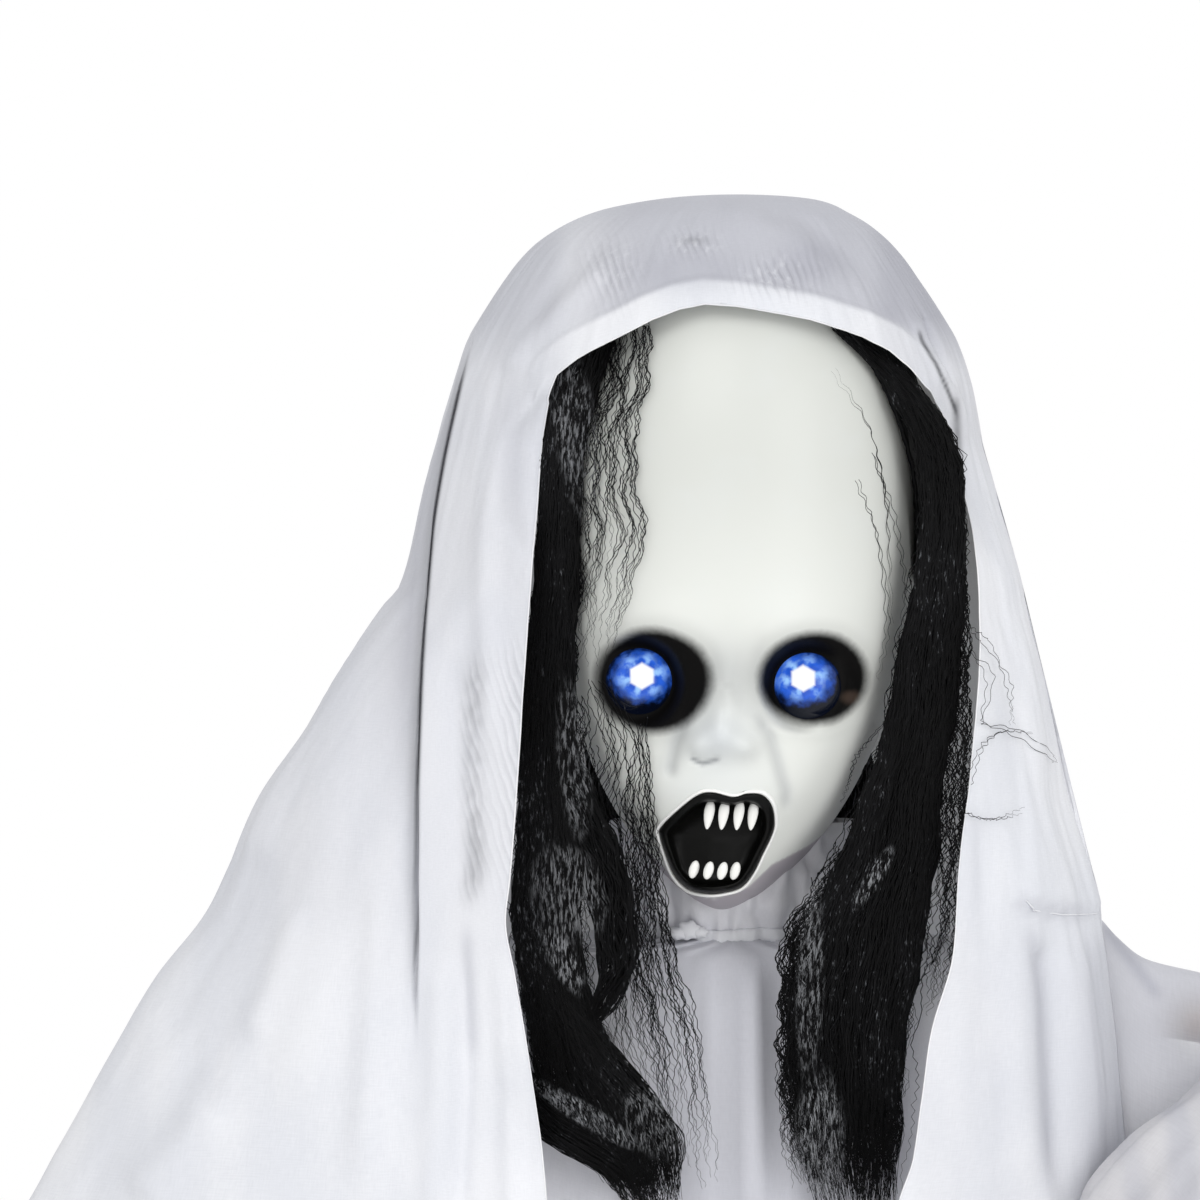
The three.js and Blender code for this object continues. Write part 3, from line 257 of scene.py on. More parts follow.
def threads(name, paths, thick, finish, body=ROOT, taper=0.35):
    """Thin round threads along paths, each an array of points in millimetres."""
    curve = bpy.data.curves.new(name, "CURVE")
    curve.dimensions = "3D"
    curve.bevel_depth = thick / 2 * MM
    curve.bevel_resolution = 0
    curve.use_fill_caps = True
    for path in paths:
        count = len(path)
        spline = curve.splines.new("POLY")
        spline.points.add(count - 1)
        spline.points.foreach_set("co", np.column_stack([path * MM, np.ones(count)]).ravel())
        t = np.linspace(0, 1, count)
        spline.points.foreach_set("radius", 1 - (1 - taper) * smooth((t - 0.6) / 0.4))
        spline.use_smooth = True
    drawn = bpy.data.objects.new(name + "_drawn", curve)
    bpy.context.scene.collection.objects.link(drawn)
    bpy.context.view_layer.update()
    solid = drawn.evaluated_get(bpy.context.evaluated_depsgraph_get())
    mesh = bpy.data.meshes.new_from_object(solid)
    bpy.data.objects.remove(drawn)
    return into_scene(name, mesh, finish, body)


# Finishes


class Value:
    """A node's output, so that shader maths reads as plain expressions."""

    def __init__(self, finish, socket):
        self.finish, self.socket = finish, socket

    def _math(self, operation, *values):
        return self.finish.node("ShaderNodeMath", {"operation": operation}, dict(enumerate(values)))

    def __add__(self, other):
        return self._math("ADD", self, other)

    def __sub__(self, other):
        return self._math("SUBTRACT", self, other)

    def __rsub__(self, other):
        return self._math("SUBTRACT", other, self)

    def __mul__(self, other):
        return self._math("MULTIPLY", self, other)

    def __truediv__(self, other):
        return self._math("DIVIDE", self, other)

    def __pow__(self, other):
        return self._math("POWER", self, other)

    __radd__ = __add__
    __rmul__ = __mul__

    def sine(self):
        return self._math("SINE", self)

    def turn_from(self, other):
        return self._math("ARCTAN2", self, other)

    def size(self):
        return self._math("ABSOLUTE", self)

    def most(self, other):
        return self._math("MAXIMUM", self, other)

    def between(self, low, high):
        """0 below low, 1 above high and smooth in between. low may be the higher of the two."""
        settings = {"interpolation_type": "SMOOTHSTEP"}
        ends = {"Value": self, "From Min": low, "From Max": high}
        return self.finish.node("ShaderNodeMapRange", settings, ends)


class Finish:
    """A material made of nodes round one Principled shader."""

    def __init__(self, name, **constants):
        self.material = bpy.data.materials.new(name)
        self.material.use_nodes = True
        self.tree = self.material.node_tree
        self.shader = self.tree.nodes["Principled BSDF"]
        for socket, value in constants.items():
            self.shader.inputs[socket.replace("_", " ")].default_value = value

    def node(self, kind, settings=None, inputs=None, output=0):
        made = self.tree.nodes.new(kind)
        for name, value in (settings or {}).items():
            setattr(made, name, value)
        for name, value in (inputs or {}).items():
            self.feed(made.inputs[name], value)
        return Value(self, made.outputs[output])

    def feed(self, socket, value):
        if isinstance(value, Value):
            self.tree.links.new(value.socket, socket)
        else:
            socket.default_value = value

    def made_with(self, **values):
        """Feeds the shader's inputs and gives the finished material."""
        for name, value in values.items():
            self.feed(self.shader.inputs[name.replace("_", " ")], value)
        return self.material

    def place(self, kind="Object"):
        return self.node("ShaderNodeTexCoord", None, None, kind)

    def parts(self, vector):
        split = self.node("ShaderNodeSeparateXYZ", None, {0: vector})
        return [Value(self, socket) for socket in split.socket.node.outputs]

    def axes(self):
        return self.parts(self.place())

    def marks(self):
        """The three values that mark() has kept on the piece."""
        return self.parts(self.node("ShaderNodeAttribute", {"attribute_name": "marks"}, None, 1))

    def noise(self, scale, detail=2.0, stretch=(1, 1, 1), kind="Object", rough=0.5):
        spot = self.node("ShaderNodeMapping", None, {"Vector": self.place(kind), "Scale": stretch})
        inputs = {"Vector": spot, "Scale": scale, "Detail": detail, "Roughness": rough}
        return self.node("ShaderNodeTexNoise", None, inputs)

    def mix(self, share, a, b):
        sockets = {0: share, 6: a, 7: b}
        return self.node("ShaderNodeMix", {"data_type": "RGBA"}, sockets, 2)

    def bump(self, height, distance, strength):
        inputs = {"Height": height, "Distance": distance, "Strength": strength}
        return self.node("ShaderNodeBump", None, inputs)


def srgb(r, g, b):
    """A colour as a picture shows it, 0 to 255, made linear."""
    light = [c / 255 for c in (r, g, b)]
    line = [c / 12.92 if c <= 0.04045 else ((c + 0.055) / 1.055) ** 2.4 for c in light]
    return (*line, 1.0)


RIPPLE_PITCH = 2.9


def gauze_finish(name, pale, shaded, see_through=0.0, marked="", window=0.0):
    """Sheer gauze: uneven threads, soft crinkles and cloudy density.
    Its marks are painted shade over shaded areas and, where marked is "creased", dark lines of painted shade
    and crinkled patches, whose ripples get painted shade and highlights.
    On other cloth the third mark is a window, which is clearer by the value of window."""
    f = Finish(name, Roughness=0.85, Specular_IOR_Level=0.15)
    along = f.noise(1900, 2, (0.1, 1, 1), "UV")
    down = f.noise(1900, 2, (1, 0.1, 1), "UV")
    weave = along * 0.5 + down * 0.5
    cloud = f.noise(24, 4, (1, 1, 0.45))
    creases = f.noise(140, 4, (1.6, 1.6, 0.5))
    density = (cloud * 0.88 + weave * 0.12).between(0.36, 0.64)
    colour = f.mix(density, shaded, pale)
    height = weave * 0.18 + creases * 0.6
    clear = 0.0
    if marked:
        dark, grey, crinkle = f.marks()
        # Painted shade: greyer where the second mark is.
        colour = f.mix(grey * (0.75 + cloud * 0.5), colour, srgb(186, 187, 196))
        clear = crinkle * window
    if marked == "creased":
        x, _, z = f.axes()
        wander = f.noise(70, 2) * 9.0
        ripple = ((x + z * 0.3) * (2 * math.pi / (RIPPLE_PITCH * MM)) + wander).sine()
        fold = f.noise(420, 3, (1, 1, 0.35))
        # Painted shade in the crinkles' ripples, and painted highlights on their folds.
        colour = f.mix(crinkle * ripple.between(0.1, 0.95) * 0.45, colour, srgb(150, 150, 160))
        colour = f.mix((crinkle * fold.between(0.5, 0.7)) * 0.5, colour, srgb(236, 237, 242))
        # Painted shade along creases and folds, where the first mark is.
        colour = f.mix(dark, colour, srgb(38, 39, 46))
        height = height + ripple * crinkle * 0.8
        clear = dark * 0.2
    if see_through:
        f.made_with(Alpha=(1 - see_through) + (weave - 0.5) * 0.16 - clear)
    return f.made_with(Base_Color=colour, Normal=f.bump(height, 0.0007, 0.5))


def plastic_finish(name, colour, roughness, coat=0.0, wear=0.06, shine=0.5):
    f = Finish(
        name, Roughness=roughness, Coat_Weight=coat, Coat_Roughness=0.12, Specular_IOR_Level=shine
    )
    blotch = f.noise(40, 4)
    dark = tuple(c * (1 - wear * 2) for c in colour[:3]) + (1.0,)
    grain = f.noise(900, 2)
    return f.made_with(
        Base_Color=f.mix(blotch.between(0.3, 0.7), dark, colour),
        Roughness=roughness + (blotch - 0.5) * 0.12,
        Normal=f.bump(grain, 0.0001, 0.4),
    )


def metal_finish(name, colour, roughness):
    f = Finish(name, Metallic=1.0, Roughness=roughness)
    streak = f.noise(600, 3, (1, 1, 0.1))
    dull = tuple(c * 0.8 for c in colour[:3]) + (1.0,)
    return f.made_with(
        Base_Color=f.mix(streak.between(0.3, 0.7), dull, colour),
        Roughness=roughness + (streak - 0.5) * 0.2,
        Normal=f.bump(streak, 0.00005, 0.5),
    )


HAIR_DEPTH = -84.0
SHEENS = [
    # x and height of the middle, half length, half width, tilt in degrees and strength
    (-53, -327.5, 22, 4, -31, 1.0), (-62, -271, 14, 5, -62, 0.75), (-60, -248, 18, 13, -70, 0.5),
    (30, -338, 26, 9, 88, 0.95), (50, -242, 13, 3, 58, 0.8), (-57, -82, 34, 8, -80, 0.5),
    (-58, -200, 28, 6, -85, 0.45), (27, -280, 34, 5, 88, 0.6), (-30, -330, 14, 9, -60, 0.5),
]


def hair_finish():
    """Black synthetic fibre with short broken glints, and sheen where its waves face the light."""
    f = Finish("hair_black", Specular_IOR_Level=0.14)
    x, _, z = f.axes()
    sheen = None
    for cx, cz, long, wide, tilt, strength in SHEENS:
        cx, cz = at_depth(cx, cz, HAIR_DEPTH)
        c, s = math.cos(math.radians(tilt)), math.sin(math.radians(tilt))
        dx, dz = x - cx * MM, z - cz * MM
        along, aside = (dx * c + dz * s) / (long * MM), (dz * c - dx * s) / (wide * MM)
        spot = (along * along + aside * aside).between(1.3, 0.3) * strength
        sheen = spot if sheen is None else sheen.most(spot)
    speckle = f.noise(900, 3, (1, 1, 0.22), rough=0.65)
    tone = f.noise(60, 3, (1, 1, 0.3))
    glint = f.noise(900, 3, (1, 1, 0.3), rough=0.7)
    base = f.mix(tone.between(0.35, 0.7), srgb(4, 4, 5), srgb(13, 13, 15))
    fibre = f.mix((glint * (0.6 + tone)).between(0.68, 0.86), base, srgb(96, 98, 102))
    return f.made_with(
        Base_Color=f.mix(speckle.between(0.47, 0.6) * sheen, fibre, srgb(158, 160, 164)),
        Roughness=0.42 + tone * 0.2,
    )


def foam_finish():
    f = Finish("foam_tan", Roughness=0.95)
    cells = f.node("ShaderNodeTexVoronoi", None, {"Vector": f.place(), "Scale": 900.0})
    tone = f.noise(60, 4)
    return f.made_with(
        Base_Color=f.mix(tone.between(0.3, 0.7), srgb(158, 138, 124), srgb(192, 172, 158)),
        Normal=f.bump(cells, 0.0004, 0.9),
    )


# Head surface, in the frame's axes


def dome_share(t, power):
    return np.power(np.maximum(0, 1 - np.power(np.clip(t, 0, 1), power)), 1 / power)


def head_section(z, grow=0.0):
    up = z >= 0
    t = np.minimum(1, np.abs(z) / (np.where(up, SKULL_UP, SKULL_DOWN) + grow))
    jaw = np.power(np.maximum(0, 1 - np.power(t, 2.4)), 1 / 1.5)
    chin = np.power(np.maximum(0, 1 - np.power(t, 3.2)), 1 / 2.2)
    width = np.where(up, dome_share(t, 2.0), jaw)
    front = np.where(up, dome_share(t, 2.4), chin)
    back = np.where(up, dome_share(t, 2.0), dome_share(t, 2.1))
    half = SKULL_HALF_WIDTH + grow
    return half * width, (SKULL_FRONT + grow) * front, (SKULL_BACK + grow) * back


EYE_X = 29.3
EYE_Z = -68.0
EYE_Y = -53.5
EYE_R = 13.0
EYE_OPENING_Y = -59.5
LENS_PAST_MIDDLE = 3.0
JAW = [
    (57, -80), (54.5, -90), (52, -98), (49, -106), (41.5, -117), (30.2, -125), (18, -131), (10, -139),
    (-2, -143.5), (-13, -142), (-20, -133), (-31, -125), (-43, -117), (-51, -106), (-54, -98),
    (-56.5, -90), (-59, -80),
]
FACE_AREA = [(-80, 110), (80, 110), (80, -80)] + JAW + [(-80, -80)]
FOLD_LEFT = [(-11, -76.2), (-15.5, -89.1), (-17.8, -101.7)]
FOLD_RIGHT = [(11.7, -76.9), (17, -84.7), (19.9, -94.5), (23, -104.4), (23.3, -113)]
UNDER_NOSE = [(-10.5, -93.4), (-6, -95.4), (0.8, -93.4)]
FACE_GROOVES = [(UNDER_NOSE, 1.1, -1.8), (FOLD_LEFT, 2.0, -1.3), (FOLD_RIGHT, 2.0, -1.3)]
NOSE_X = 1.0
# Forms of the face: middle, half sizes and how far each stands out
BOTH_SIDES = [(EYE_X, EYE_Z, 19, 14, -9.5), (27, -47, 22, 9, 2.8), (33, -106, 15, 15, 4.6)]
MIDDLE_FORMS = [
    (NOSE_X, -74, 6, 15, 4.0), (NOSE_X, -86, 9.5, 7.5, 7.0), (0, -106, 24, 11, 4.5),
    (-1.5, -140, 23, 17, 19),
]
# Painted shade of the face: lines along its folds and under the nose, places between the eyes, and bluish
# places on the nose and muzzle; each with its line or middle, half width or half sizes, and strength.
FACE_LINES = [(FOLD_LEFT, 3.2, 0.5), (FOLD_RIGHT, 2.4, 0.42), (UNDER_NOSE, 0.8, 0.9)]
FACE_SHADES = [(13, -66, 3, 12, 0.22), (1, -64, 13, 12, 0.5)]
FACE_COOL = [(-1, -86, 12, 11, 0.8), (0, -104, 20, 8, 0.3)]


def in_outline(x, z, outline):
    inside = np.zeros(np.shape(x), bool)
    for (ax, az), (bx, bz) in zip(outline, np.roll(outline, -1, axis=0)):
        crosses = (az > z) != (bz > z)
        at = ax + (z - az) * (bx - ax) / np.where(bz == az, 1e-9, bz - az)
        inside ^= crosses & (x < at)
    return inside


def face_relief(x, z):
    """How far the moulded face stands out of the plain egg."""
    ax = np.abs(x)
    bag = 1.2 * bell((np.hypot((ax - EYE_X) / 1.5, z - EYE_Z - 1) - 18) / 2.2) * (z < EYE_Z)
    lid = 1.3 * bell((np.hypot(ax - EYE_X, z - EYE_Z) - 13.5) / 1.4) * smooth((EYE_Z - z) / 4)
    wings = 3.2 * lump(np.abs(x - NOSE_X), z, 8.6, -89.5, 4.2, 4.2)
    both = lumps(ax, z, BOTH_SIDES) + lumps(x, z, MIDDLE_FORMS)
    return both + wings + ridges(x, z, FACE_GROOVES) + bag + lid


def moulded(x, z, plain, share):
    """Depth of the moulded face, from the plain egg's; share is 1 in front and 0 at its sides."""
    y = plain - face_relief(x, z) * np.power(share, 0.8)
    opening = smooth((17 - np.hypot(np.abs(x) - EYE_X, z - EYE_Z)) / 5) * (share > 0.1)
    y = y + (EYE_OPENING_Y - y) * opening
    far, _ = from_line(x, z, JAW)
    under = ~in_outline(x, z, FACE_AREA)
    return y + np.where(under, np.minimum(1.1 * far, 12) * share, 0)


def face_y(x, z, grow=0.0):
    half, front, _ = head_section(z, grow)
    s = np.clip(np.abs(x) / np.maximum(half, 0.01), 0, 1) ** 1.1
    c = np.sqrt(np.maximum(0, 1 - s * s))
    return moulded(x, z, -front * np.power(c, 2 / 2.2), c)


def head_point(turn, z, grow=0.0):
    half, front, back = head_section(z, grow)
    s, c = np.sin(turn), np.cos(turn)
    power = np.where(c > 0, 2.2, 2.0)
    x = half * np.sign(s) * np.power(np.abs(s), 2 / power)
    out = np.power(np.abs(c), 2 / power)
    return x, np.where(c > 0, moulded(x, z, -front * out, np.maximum(c, 0)), back * out), z


def turned(a, b, angle):
    c, s = math.cos(angle), math.sin(angle)
    return a * c - b * s, a * s + b * c


def head_to_figure(x, y, z):
    """From the head's own axes to the figure's: the head is rolled, then turned."""
    x, z = turned(x, z, -HEAD_ROLL)
    x, y = turned(x, y, -HEAD_YAW)
    return x, y + HEAD_Y, z + HEAD_Z


def figure_to_head(x, y, z):
    x, y = turned(x, y - HEAD_Y, HEAD_YAW)
    x, z = turned(x, z - HEAD_Z, HEAD_ROLL)
    return x, y, z


def skin_y(x, z):
    """Depth of the face's surface behind a place of the figure."""
    y = np.full(np.shape(x), -90.0)
    for _ in range(4):
        hx, _, hz = figure_to_head(x, y, z)
        y = head_to_figure(hx, face_y(hx, hz), hz)[1]
    return y


MOUTH = [
    (-20.7, -118.9), (-14.8, -112.6), (-7.4, -106.5), (-2.1, -105.3), (5.1, -106.7), (9.7, -105.4),
    (14.9, -105.8), (18.2, -109.6), (19.1, -115.5), (18.2, -120), (15, -127.2), (11.8, -134),
    (7.9, -138.8), (2.1, -140.7), (-4, -141.4), (-11.1, -140.5), (-16, -136.1), (-19.3, -127.9),
    (-20.9, -122.4),
]
MOUTH_MIDDLE = (-1.0, -123.5)
MOUTH_COUNT = 114


def mouth_outline():
    """The mouth's closed outline in the head's X and Z, in its list's order."""
    points = np.array(MOUTH, float)
    n = len(points)
    t = np.arange(MOUTH_COUNT) / MOUTH_COUNT * n
    i = t.astype(int)
    f = (t - i)[:, None]
    p0, p1, p2, p3 = (points[(i + k) % n] for k in (-1, 0, 1, 2))
    return 0.5 * (
        2 * p1 + (p2 - p0) * f + (2 * p0 - 5 * p1 + 4 * p2 - p3) * f**2
        + (3 * p1 - p0 - 3 * p2 + p3) * f**3
    )


def mask_piece(finish):
    """The moulded mask, fine enough for its lids, nose and lips, with the mouth cut out."""
    outline = mouth_outline()
    closed = np.vstack([outline, outline[:1]])

    def spots(across, down):
        turn = (across - 0.5) * math.pi * 1.004
        t = 1 - down
        even = -SKULL_DOWN + (SKULL_UP + SKULL_DOWN) * t
        bend = np.sin(-math.pi / 2 + math.pi * t)
        z = 0.7 * even + 0.3 * bend * np.where(bend < 0, SKULL_DOWN, SKULL_UP)
        x, y, z = head_point(turn, z)
        far, share = from_line(x, z, closed)
        near = (far < 0.6) & (y < -30)
        k = np.clip((share * MOUTH_COUNT).astype(int), 0, MOUTH_COUNT - 1)
        f = share * MOUTH_COUNT - k
        ex = closed[k, 0] * (1 - f) + closed[k + 1, 0] * f
        ez = closed[k, 1] * (1 - f) + closed[k + 1, 1] * f
        x, z = np.where(near, ex, x), np.where(near, ez, z)
        y = np.where(near, face_y(x, z), y)
        return x, y, z + 0.65 * np.maximum(0, -140 - z) * smooth((-30 - y) / 20)

    def inside(across, down):
        x, y, z = spots(across, down)
        return in_outline(x, z, outline) & (y < -30)

    # Painted shade: grey-mauve under the jaw, grey along the face's folds and between the eyes, and bluish
    # on the nose and muzzle.
    def shades(x, y, z):
        hx, _, hz = figure_to_head(x, y, z)
        far, _ = from_line(hx, hz, JAW)
        under = np.where(in_outline(hx, hz, FACE_AREA), 0, smooth(far / 1.6 + 0.4))
        folds = ridges(hx, hz, FACE_LINES) + lumps(hx, hz, FACE_SHADES)
        return under, folds, lumps(hx, hz, FACE_COOL)

    place = lambda across, down: head_to_figure(*spots(across, down))
    bm = grid_mesh(230, 250, place, (220, 250), inside)
    made = mark(piece("mask", bm, finish), shades)
    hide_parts("face_mask")


def ring_sheet(rings):
    """A closed band through rings round the mouth: each is (share of the outline, how deep)."""
    outline = mouth_outline()
    middle = np.array(MOUTH_MIDDLE)
    shares, depths = np.array(rings, float).T

    def place(across, down):
        k = across * MOUTH_COUNT
        i = np.floor(k).astype(int)
        f = (k - i)[:, None]
        edge = outline[i % MOUTH_COUNT] * (1 - f) + outline[(i + 1) % MOUTH_COUNT] * f
        r = down * (len(rings) - 1)
        j = np.clip(np.floor(r).astype(int), 0, len(rings) - 2)
        g = r - j
        share = (shares[j] * (1 - g) + shares[j + 1] * g)[:, None]
        deep = depths[j] * (1 - g) + depths[j + 1] * g
        on_edge = face_y(edge[:, 0], edge[:, 1])
        spot = middle + (edge - middle) * share
        flat = np.where(share[:, 0] > 1, on_edge, face_y(spot[:, 0], spot[:, 1]))
        return head_to_figure(spot[:, 0], flat + deep, spot[:, 1])

    return grid_mesh(MOUTH_COUNT, (len(rings) - 1) * 2, place, (110, 30))


def mouth_pieces(black, white, tooth):
    lips = ring_sheet([
        (0.995, 1.0), (1.0, -0.5), (0.985, -1.3), (0.95, -1.8), (0.9, -1.9), (0.86, -1.2),
        (0.83, 0.6), (0.8, 3.0), (0.74, 5.6), (0.64, 7.8), (0.5, 9.2), (0.3, 9.9), (0.12, 10.1), (0.0, 10.2),
    ])
    made = piece("mouth_lining", lips, black)
    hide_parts("mouth_liner")
    # The raised rim's finish is whiter than the mask: a painted highlight along the mouth's edge.
    rim = ring_sheet([(1.072, 1.6), (1.068, -0.2), (1.05, -1.1), (1.022, -1.3), (1.0, -0.7), (0.995, 0.9)])
    piece("mouth_rim", rim, white)
    rows = (
        # name, height of the root, height of the tip, width, places, lean of the tip
        ("upper_teeth", -108.2, -118.3, 3.9, (-3.4, 1.6, 6.8, 11.6), -1.1),
        ("lower_teeth", -135.8, -129.6, 3.5, (-8.4, -3.2, 1.6, 5.9), 1.2),
    )
    for name, root, tip, wide, places, lean in rows:
        bm = bmesh.new()
        for x in places:
            add_tooth(bm, x, root, tip, wide, lean)
        made = piece(name + "_row", outward(bm), tooth)
        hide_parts(name)


def add_tooth(bm, x, root, tip, wide, lean):
    """One tooth, an oval that leans to its tip, pointed where it is long."""
    made = bmesh.ops.create_uvsphere(bm, u_segments=20, v_segments=16, radius=1.0)["verts"]
    long = tip - root
    deep = float(face_y(np.array(x), np.array((root + tip) / 2)))
    for v in made:
        t = (v.co.z * math.copysign(1, long) + 1) / 2
        girth = 1.0 if long > 0 else 1.16 - 0.5 * t
        px = x + v.co.x * wide / 2 * girth + lean * (t - 0.5)
        py = deep + 0.6 + v.co.y * 1.3 * girth
        v.co = Vector(head_to_figure(px, py, root + long * t)) * MM


def eye_pieces(finishes):
    for side, name in ((-1, "left"), (1, "right")):
        bm = bmesh.new()
        bmesh.ops.create_uvsphere(bm, u_segments=64, v_segments=40, radius=EYE_R * MM)
        turn = Matrix.Rotation(math.radians(90), 4, "X")
        bmesh.ops.transform(bm, matrix=turn, verts=bm.verts)
        middle = Vector(head_to_figure(side * EYE_X, EYE_Y, EYE_Z)) * MM
        bmesh.ops.translate(bm, vec=middle, verts=bm.verts)
        keep_front = middle + Vector((0, LENS_PAST_MIDDLE * MM, 0))
        cut = bm.verts[:] + bm.edges[:] + bm.faces[:]
        bmesh.ops.bisect_plane(
            bm, geom=cut, plane_co=keep_front, plane_no=(0, 1, 0), clear_outer=True
        )
        made = piece(f"eye_lens_{name}", bm, finishes[name])
        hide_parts(f"eye_dome_{name}")


# Reaches of the glow from the lens's middle: where each part begins and where it is full
HALO = (12.2 * MM, 6.2 * MM)
PETALS = (10.4 * MM, 5.6 * MM)
CORE_RING = (6.2 * MM, 5.0 * MM)
CORE = (4.6 * MM, 3.4 * MM)


def eye_finish(name, cx, cz):
    """A clear blue lens lit from behind at (cx, cz): white six-sided core, petals, dark rim."""
    f = Finish(
        name, Roughness=0.2, Coat_Weight=0.2, Coat_Roughness=0.05, Specular_IOR_Level=0.2,
        Emission_Strength=1.0,
    )
    x, _, z = f.axes()
    dx, dz = x - cx * MM, z - cz * MM
    slant = dx * 0.5
    lean = dz * 0.866
    hexagon = dx.size().most((slant + lean).size()).most((slant - lean).size())
    radius = (dx * dx + dz * dz * 1.35) ** 0.5
    facets = f.node("ShaderNodeTexVoronoi", None, {"Vector": f.place(), "Scale": 420.0})
    glint = f.noise(330, 3)
    petal = (dz.turn_from(dx) * 6.0 + 0.4).sine() * 0.5 + 0.5
    edge = radius + (facets - 0.5) * 0.0008 + (glint - 0.5) * 0.005 - petal * 0.0006
    halo = edge.between(*HALO)
    blue = f.mix(halo, srgb(4, 8, 22), srgb(44, 98, 216))
    lobe = (petal * 0.3 + glint * 1.3).between(0.62, 1.15) * edge.between(*PETALS)
    bright = f.mix(lobe, blue, srgb(160, 206, 255))
    ring = hexagon.between(*CORE_RING) * petal.between(0.9, 0.3)
    ringed = f.mix(ring * 0.5, bright, srgb(28, 74, 178))
    glow = f.mix(hexagon.between(*CORE), ringed, srgb(255, 255, 255))
    return f.made_with(Base_Color=f.mix(halo, srgb(2, 3, 6), srgb(10, 22, 60)), Emission_Color=glow)


SOCKETS = ((-30.3, -169.8, 20.6, 18.2), (25.4, -169.1, 19.8, 16.4))
LID_STAIN = (38.4, -175.8)


def mask_finish():
    """Glossy white moulding, airbrushed black round the eyes, with painted shade: grey-mauve under the jaw,
    grey in the face's folds, bluish on the nose, and greyer up the forehead.
    """
    f = Finish("mask_white", Coat_Roughness=0.25, Specular_IOR_Level=0.1)
    x, y, z = f.axes()
    under, folds, bluish_shade = f.marks()
    stain = f.noise(50, 3)
    fine = f.noise(500, 3)
    paint = None
    for cx, cz, half_x, half_z in SOCKETS:
        dx, dz = (x - cx * MM) / (half_x * MM), (z - cz * MM) / (half_z * MM)
        reach = (dx * dx + dz * dz) ** 0.5 + (stain - 0.5) * 0.1 + (fine - 0.5) * 0.04
        spot = reach.between(1.14, 0.84)
        haze = reach.between(1.4, 1.0) * 0.12
        spot = spot.most(haze)
        paint = spot if paint is None else paint.most(spot)
    # Painted light: the white turns greyer up the forehead.
    lit = z.between(-0.155, -0.09)
    white = f.mix(lit, srgb(228, 230, 225), srgb(214, 216, 211))
    white = f.mix((stain - 0.5) * 0.5, white, srgb(222, 226, 228))
    # Painted shade: bluish on the nose and muzzle, grey along the face's folds and between the eyes,
    # grey-mauve under the jaw.
    white = f.mix(bluish_shade * 0.8, white, srgb(211, 216, 221))
    white = f.mix(folds, white, srgb(160, 163, 166))
    white = f.mix(under, white, srgb(176, 170, 177))
    colour = f.mix(paint, white, srgb(8, 7, 7))
    dx, dz = x - LID_STAIN[0] * MM, z - LID_STAIN[1] * MM
    brown = ((dx * dx + dz * dz * 2.0) ** 0.5 + (stain - 0.5) * 0.003).between(0.005, 0.001)
    return f.made_with(
        Base_Color=f.mix(brown * 0.35, colour, srgb(112, 92, 80)),
        Roughness=0.42 + (stain - 0.5) * 0.12 + paint * 0.3,
        Coat_Weight=0.26 - paint * 0.25,
        Normal=f.bump(fine, 0.00012, 0.2),
    )


# Veil


VEIL_Y = -26.0
HANG_START = -68.0
VEIL = Profile([
    # height, left, right, front, back
    (3.3, 0.5, 0.5, 0.5, 0.5), (3, 14, 16, 14, 8), (1, 34, 33, 32, 18), (-3, 52, 41, 46, 30),
    (-8, 63, 49, 56, 40), (-16, 74, 58, 65, 51), (-27, 83, 66, 73, 61), (-41, 92, 75, 79, 69),
    (-50, 97, 80, 82, 73), (-68, 103, 86, 86, 79), (-100, 112, 93, 88, 84), (-137, 122, 102, 88, 89),
    (-144, 128, 103, 88, 90), (-165, 142, 109, 87, 92), (-187, 157, 114, 85, 95),
    (-212, 175, 119, 84, 96), (-254, 195, 131, 84, 98), (-276, 211, 135, 84, 100),
    (-308, 229, 139, 84, 102), (-352, 254, 142, 84, 104), (-400, 282, 144, 86, 106),
    (-445, 298, 146, 88, 107), (-560, 302, 150, 92, 114),
])
FOREHEAD_EDGE = [
    # x and height of the hood's front edge, from the left corner to the right one
    (-63, -64), (-56, -58.5), (-48.6, -54.6), (-38, -49.5), (-30.6, -45.6), (-21, -42), (-12.6, -40.4),
    (-2, -41.2), (9, -43), (23.4, -45.6), (41.4, -51), (51, -55.5), (59, -62), (66.6, -70), (72.5, -79),
]
LEFT_EDGE = Profile([
    (-64, -63), (-72, -66.2), (-84.5, -68.3), (-99, -69.6), (-117, -71), (-142, -73), (-178, -75.6),
    (-207, -77.6), (-239, -80), (-252, -81.4), (-272, -78), (-293, -74.5), (-315, -71), (-333, -68.4),
    (-358, -66.6), (-450, -66), (-560, -66),
])
RIGHT_EDGE = Profile([
    (-79, 72.5), (-88, 76.7), (-102.5, 80), (-117, 82.6), (-142, 83.8), (-171, 82.5), (-200, 80),
    (-228, 76.5), (-262, 74), (-290, 66.6), (-316, 62.6), (-333.6, 60), (-351, 54), (-400, 50), (-560, 48),
])
CREASE = Profile([
    (-52, -95), (-67.9, -98.4), (-94.9, -104.1), (-121, -107.9), (-171, -110.7), (-210, -111.8),
    (-245, -112.2), (-283, -112.2), (-350, -113), (-560, -116),
])
PANEL_DEGREES = 79
PANEL_TURN = math.radians(PANEL_DEGREES)
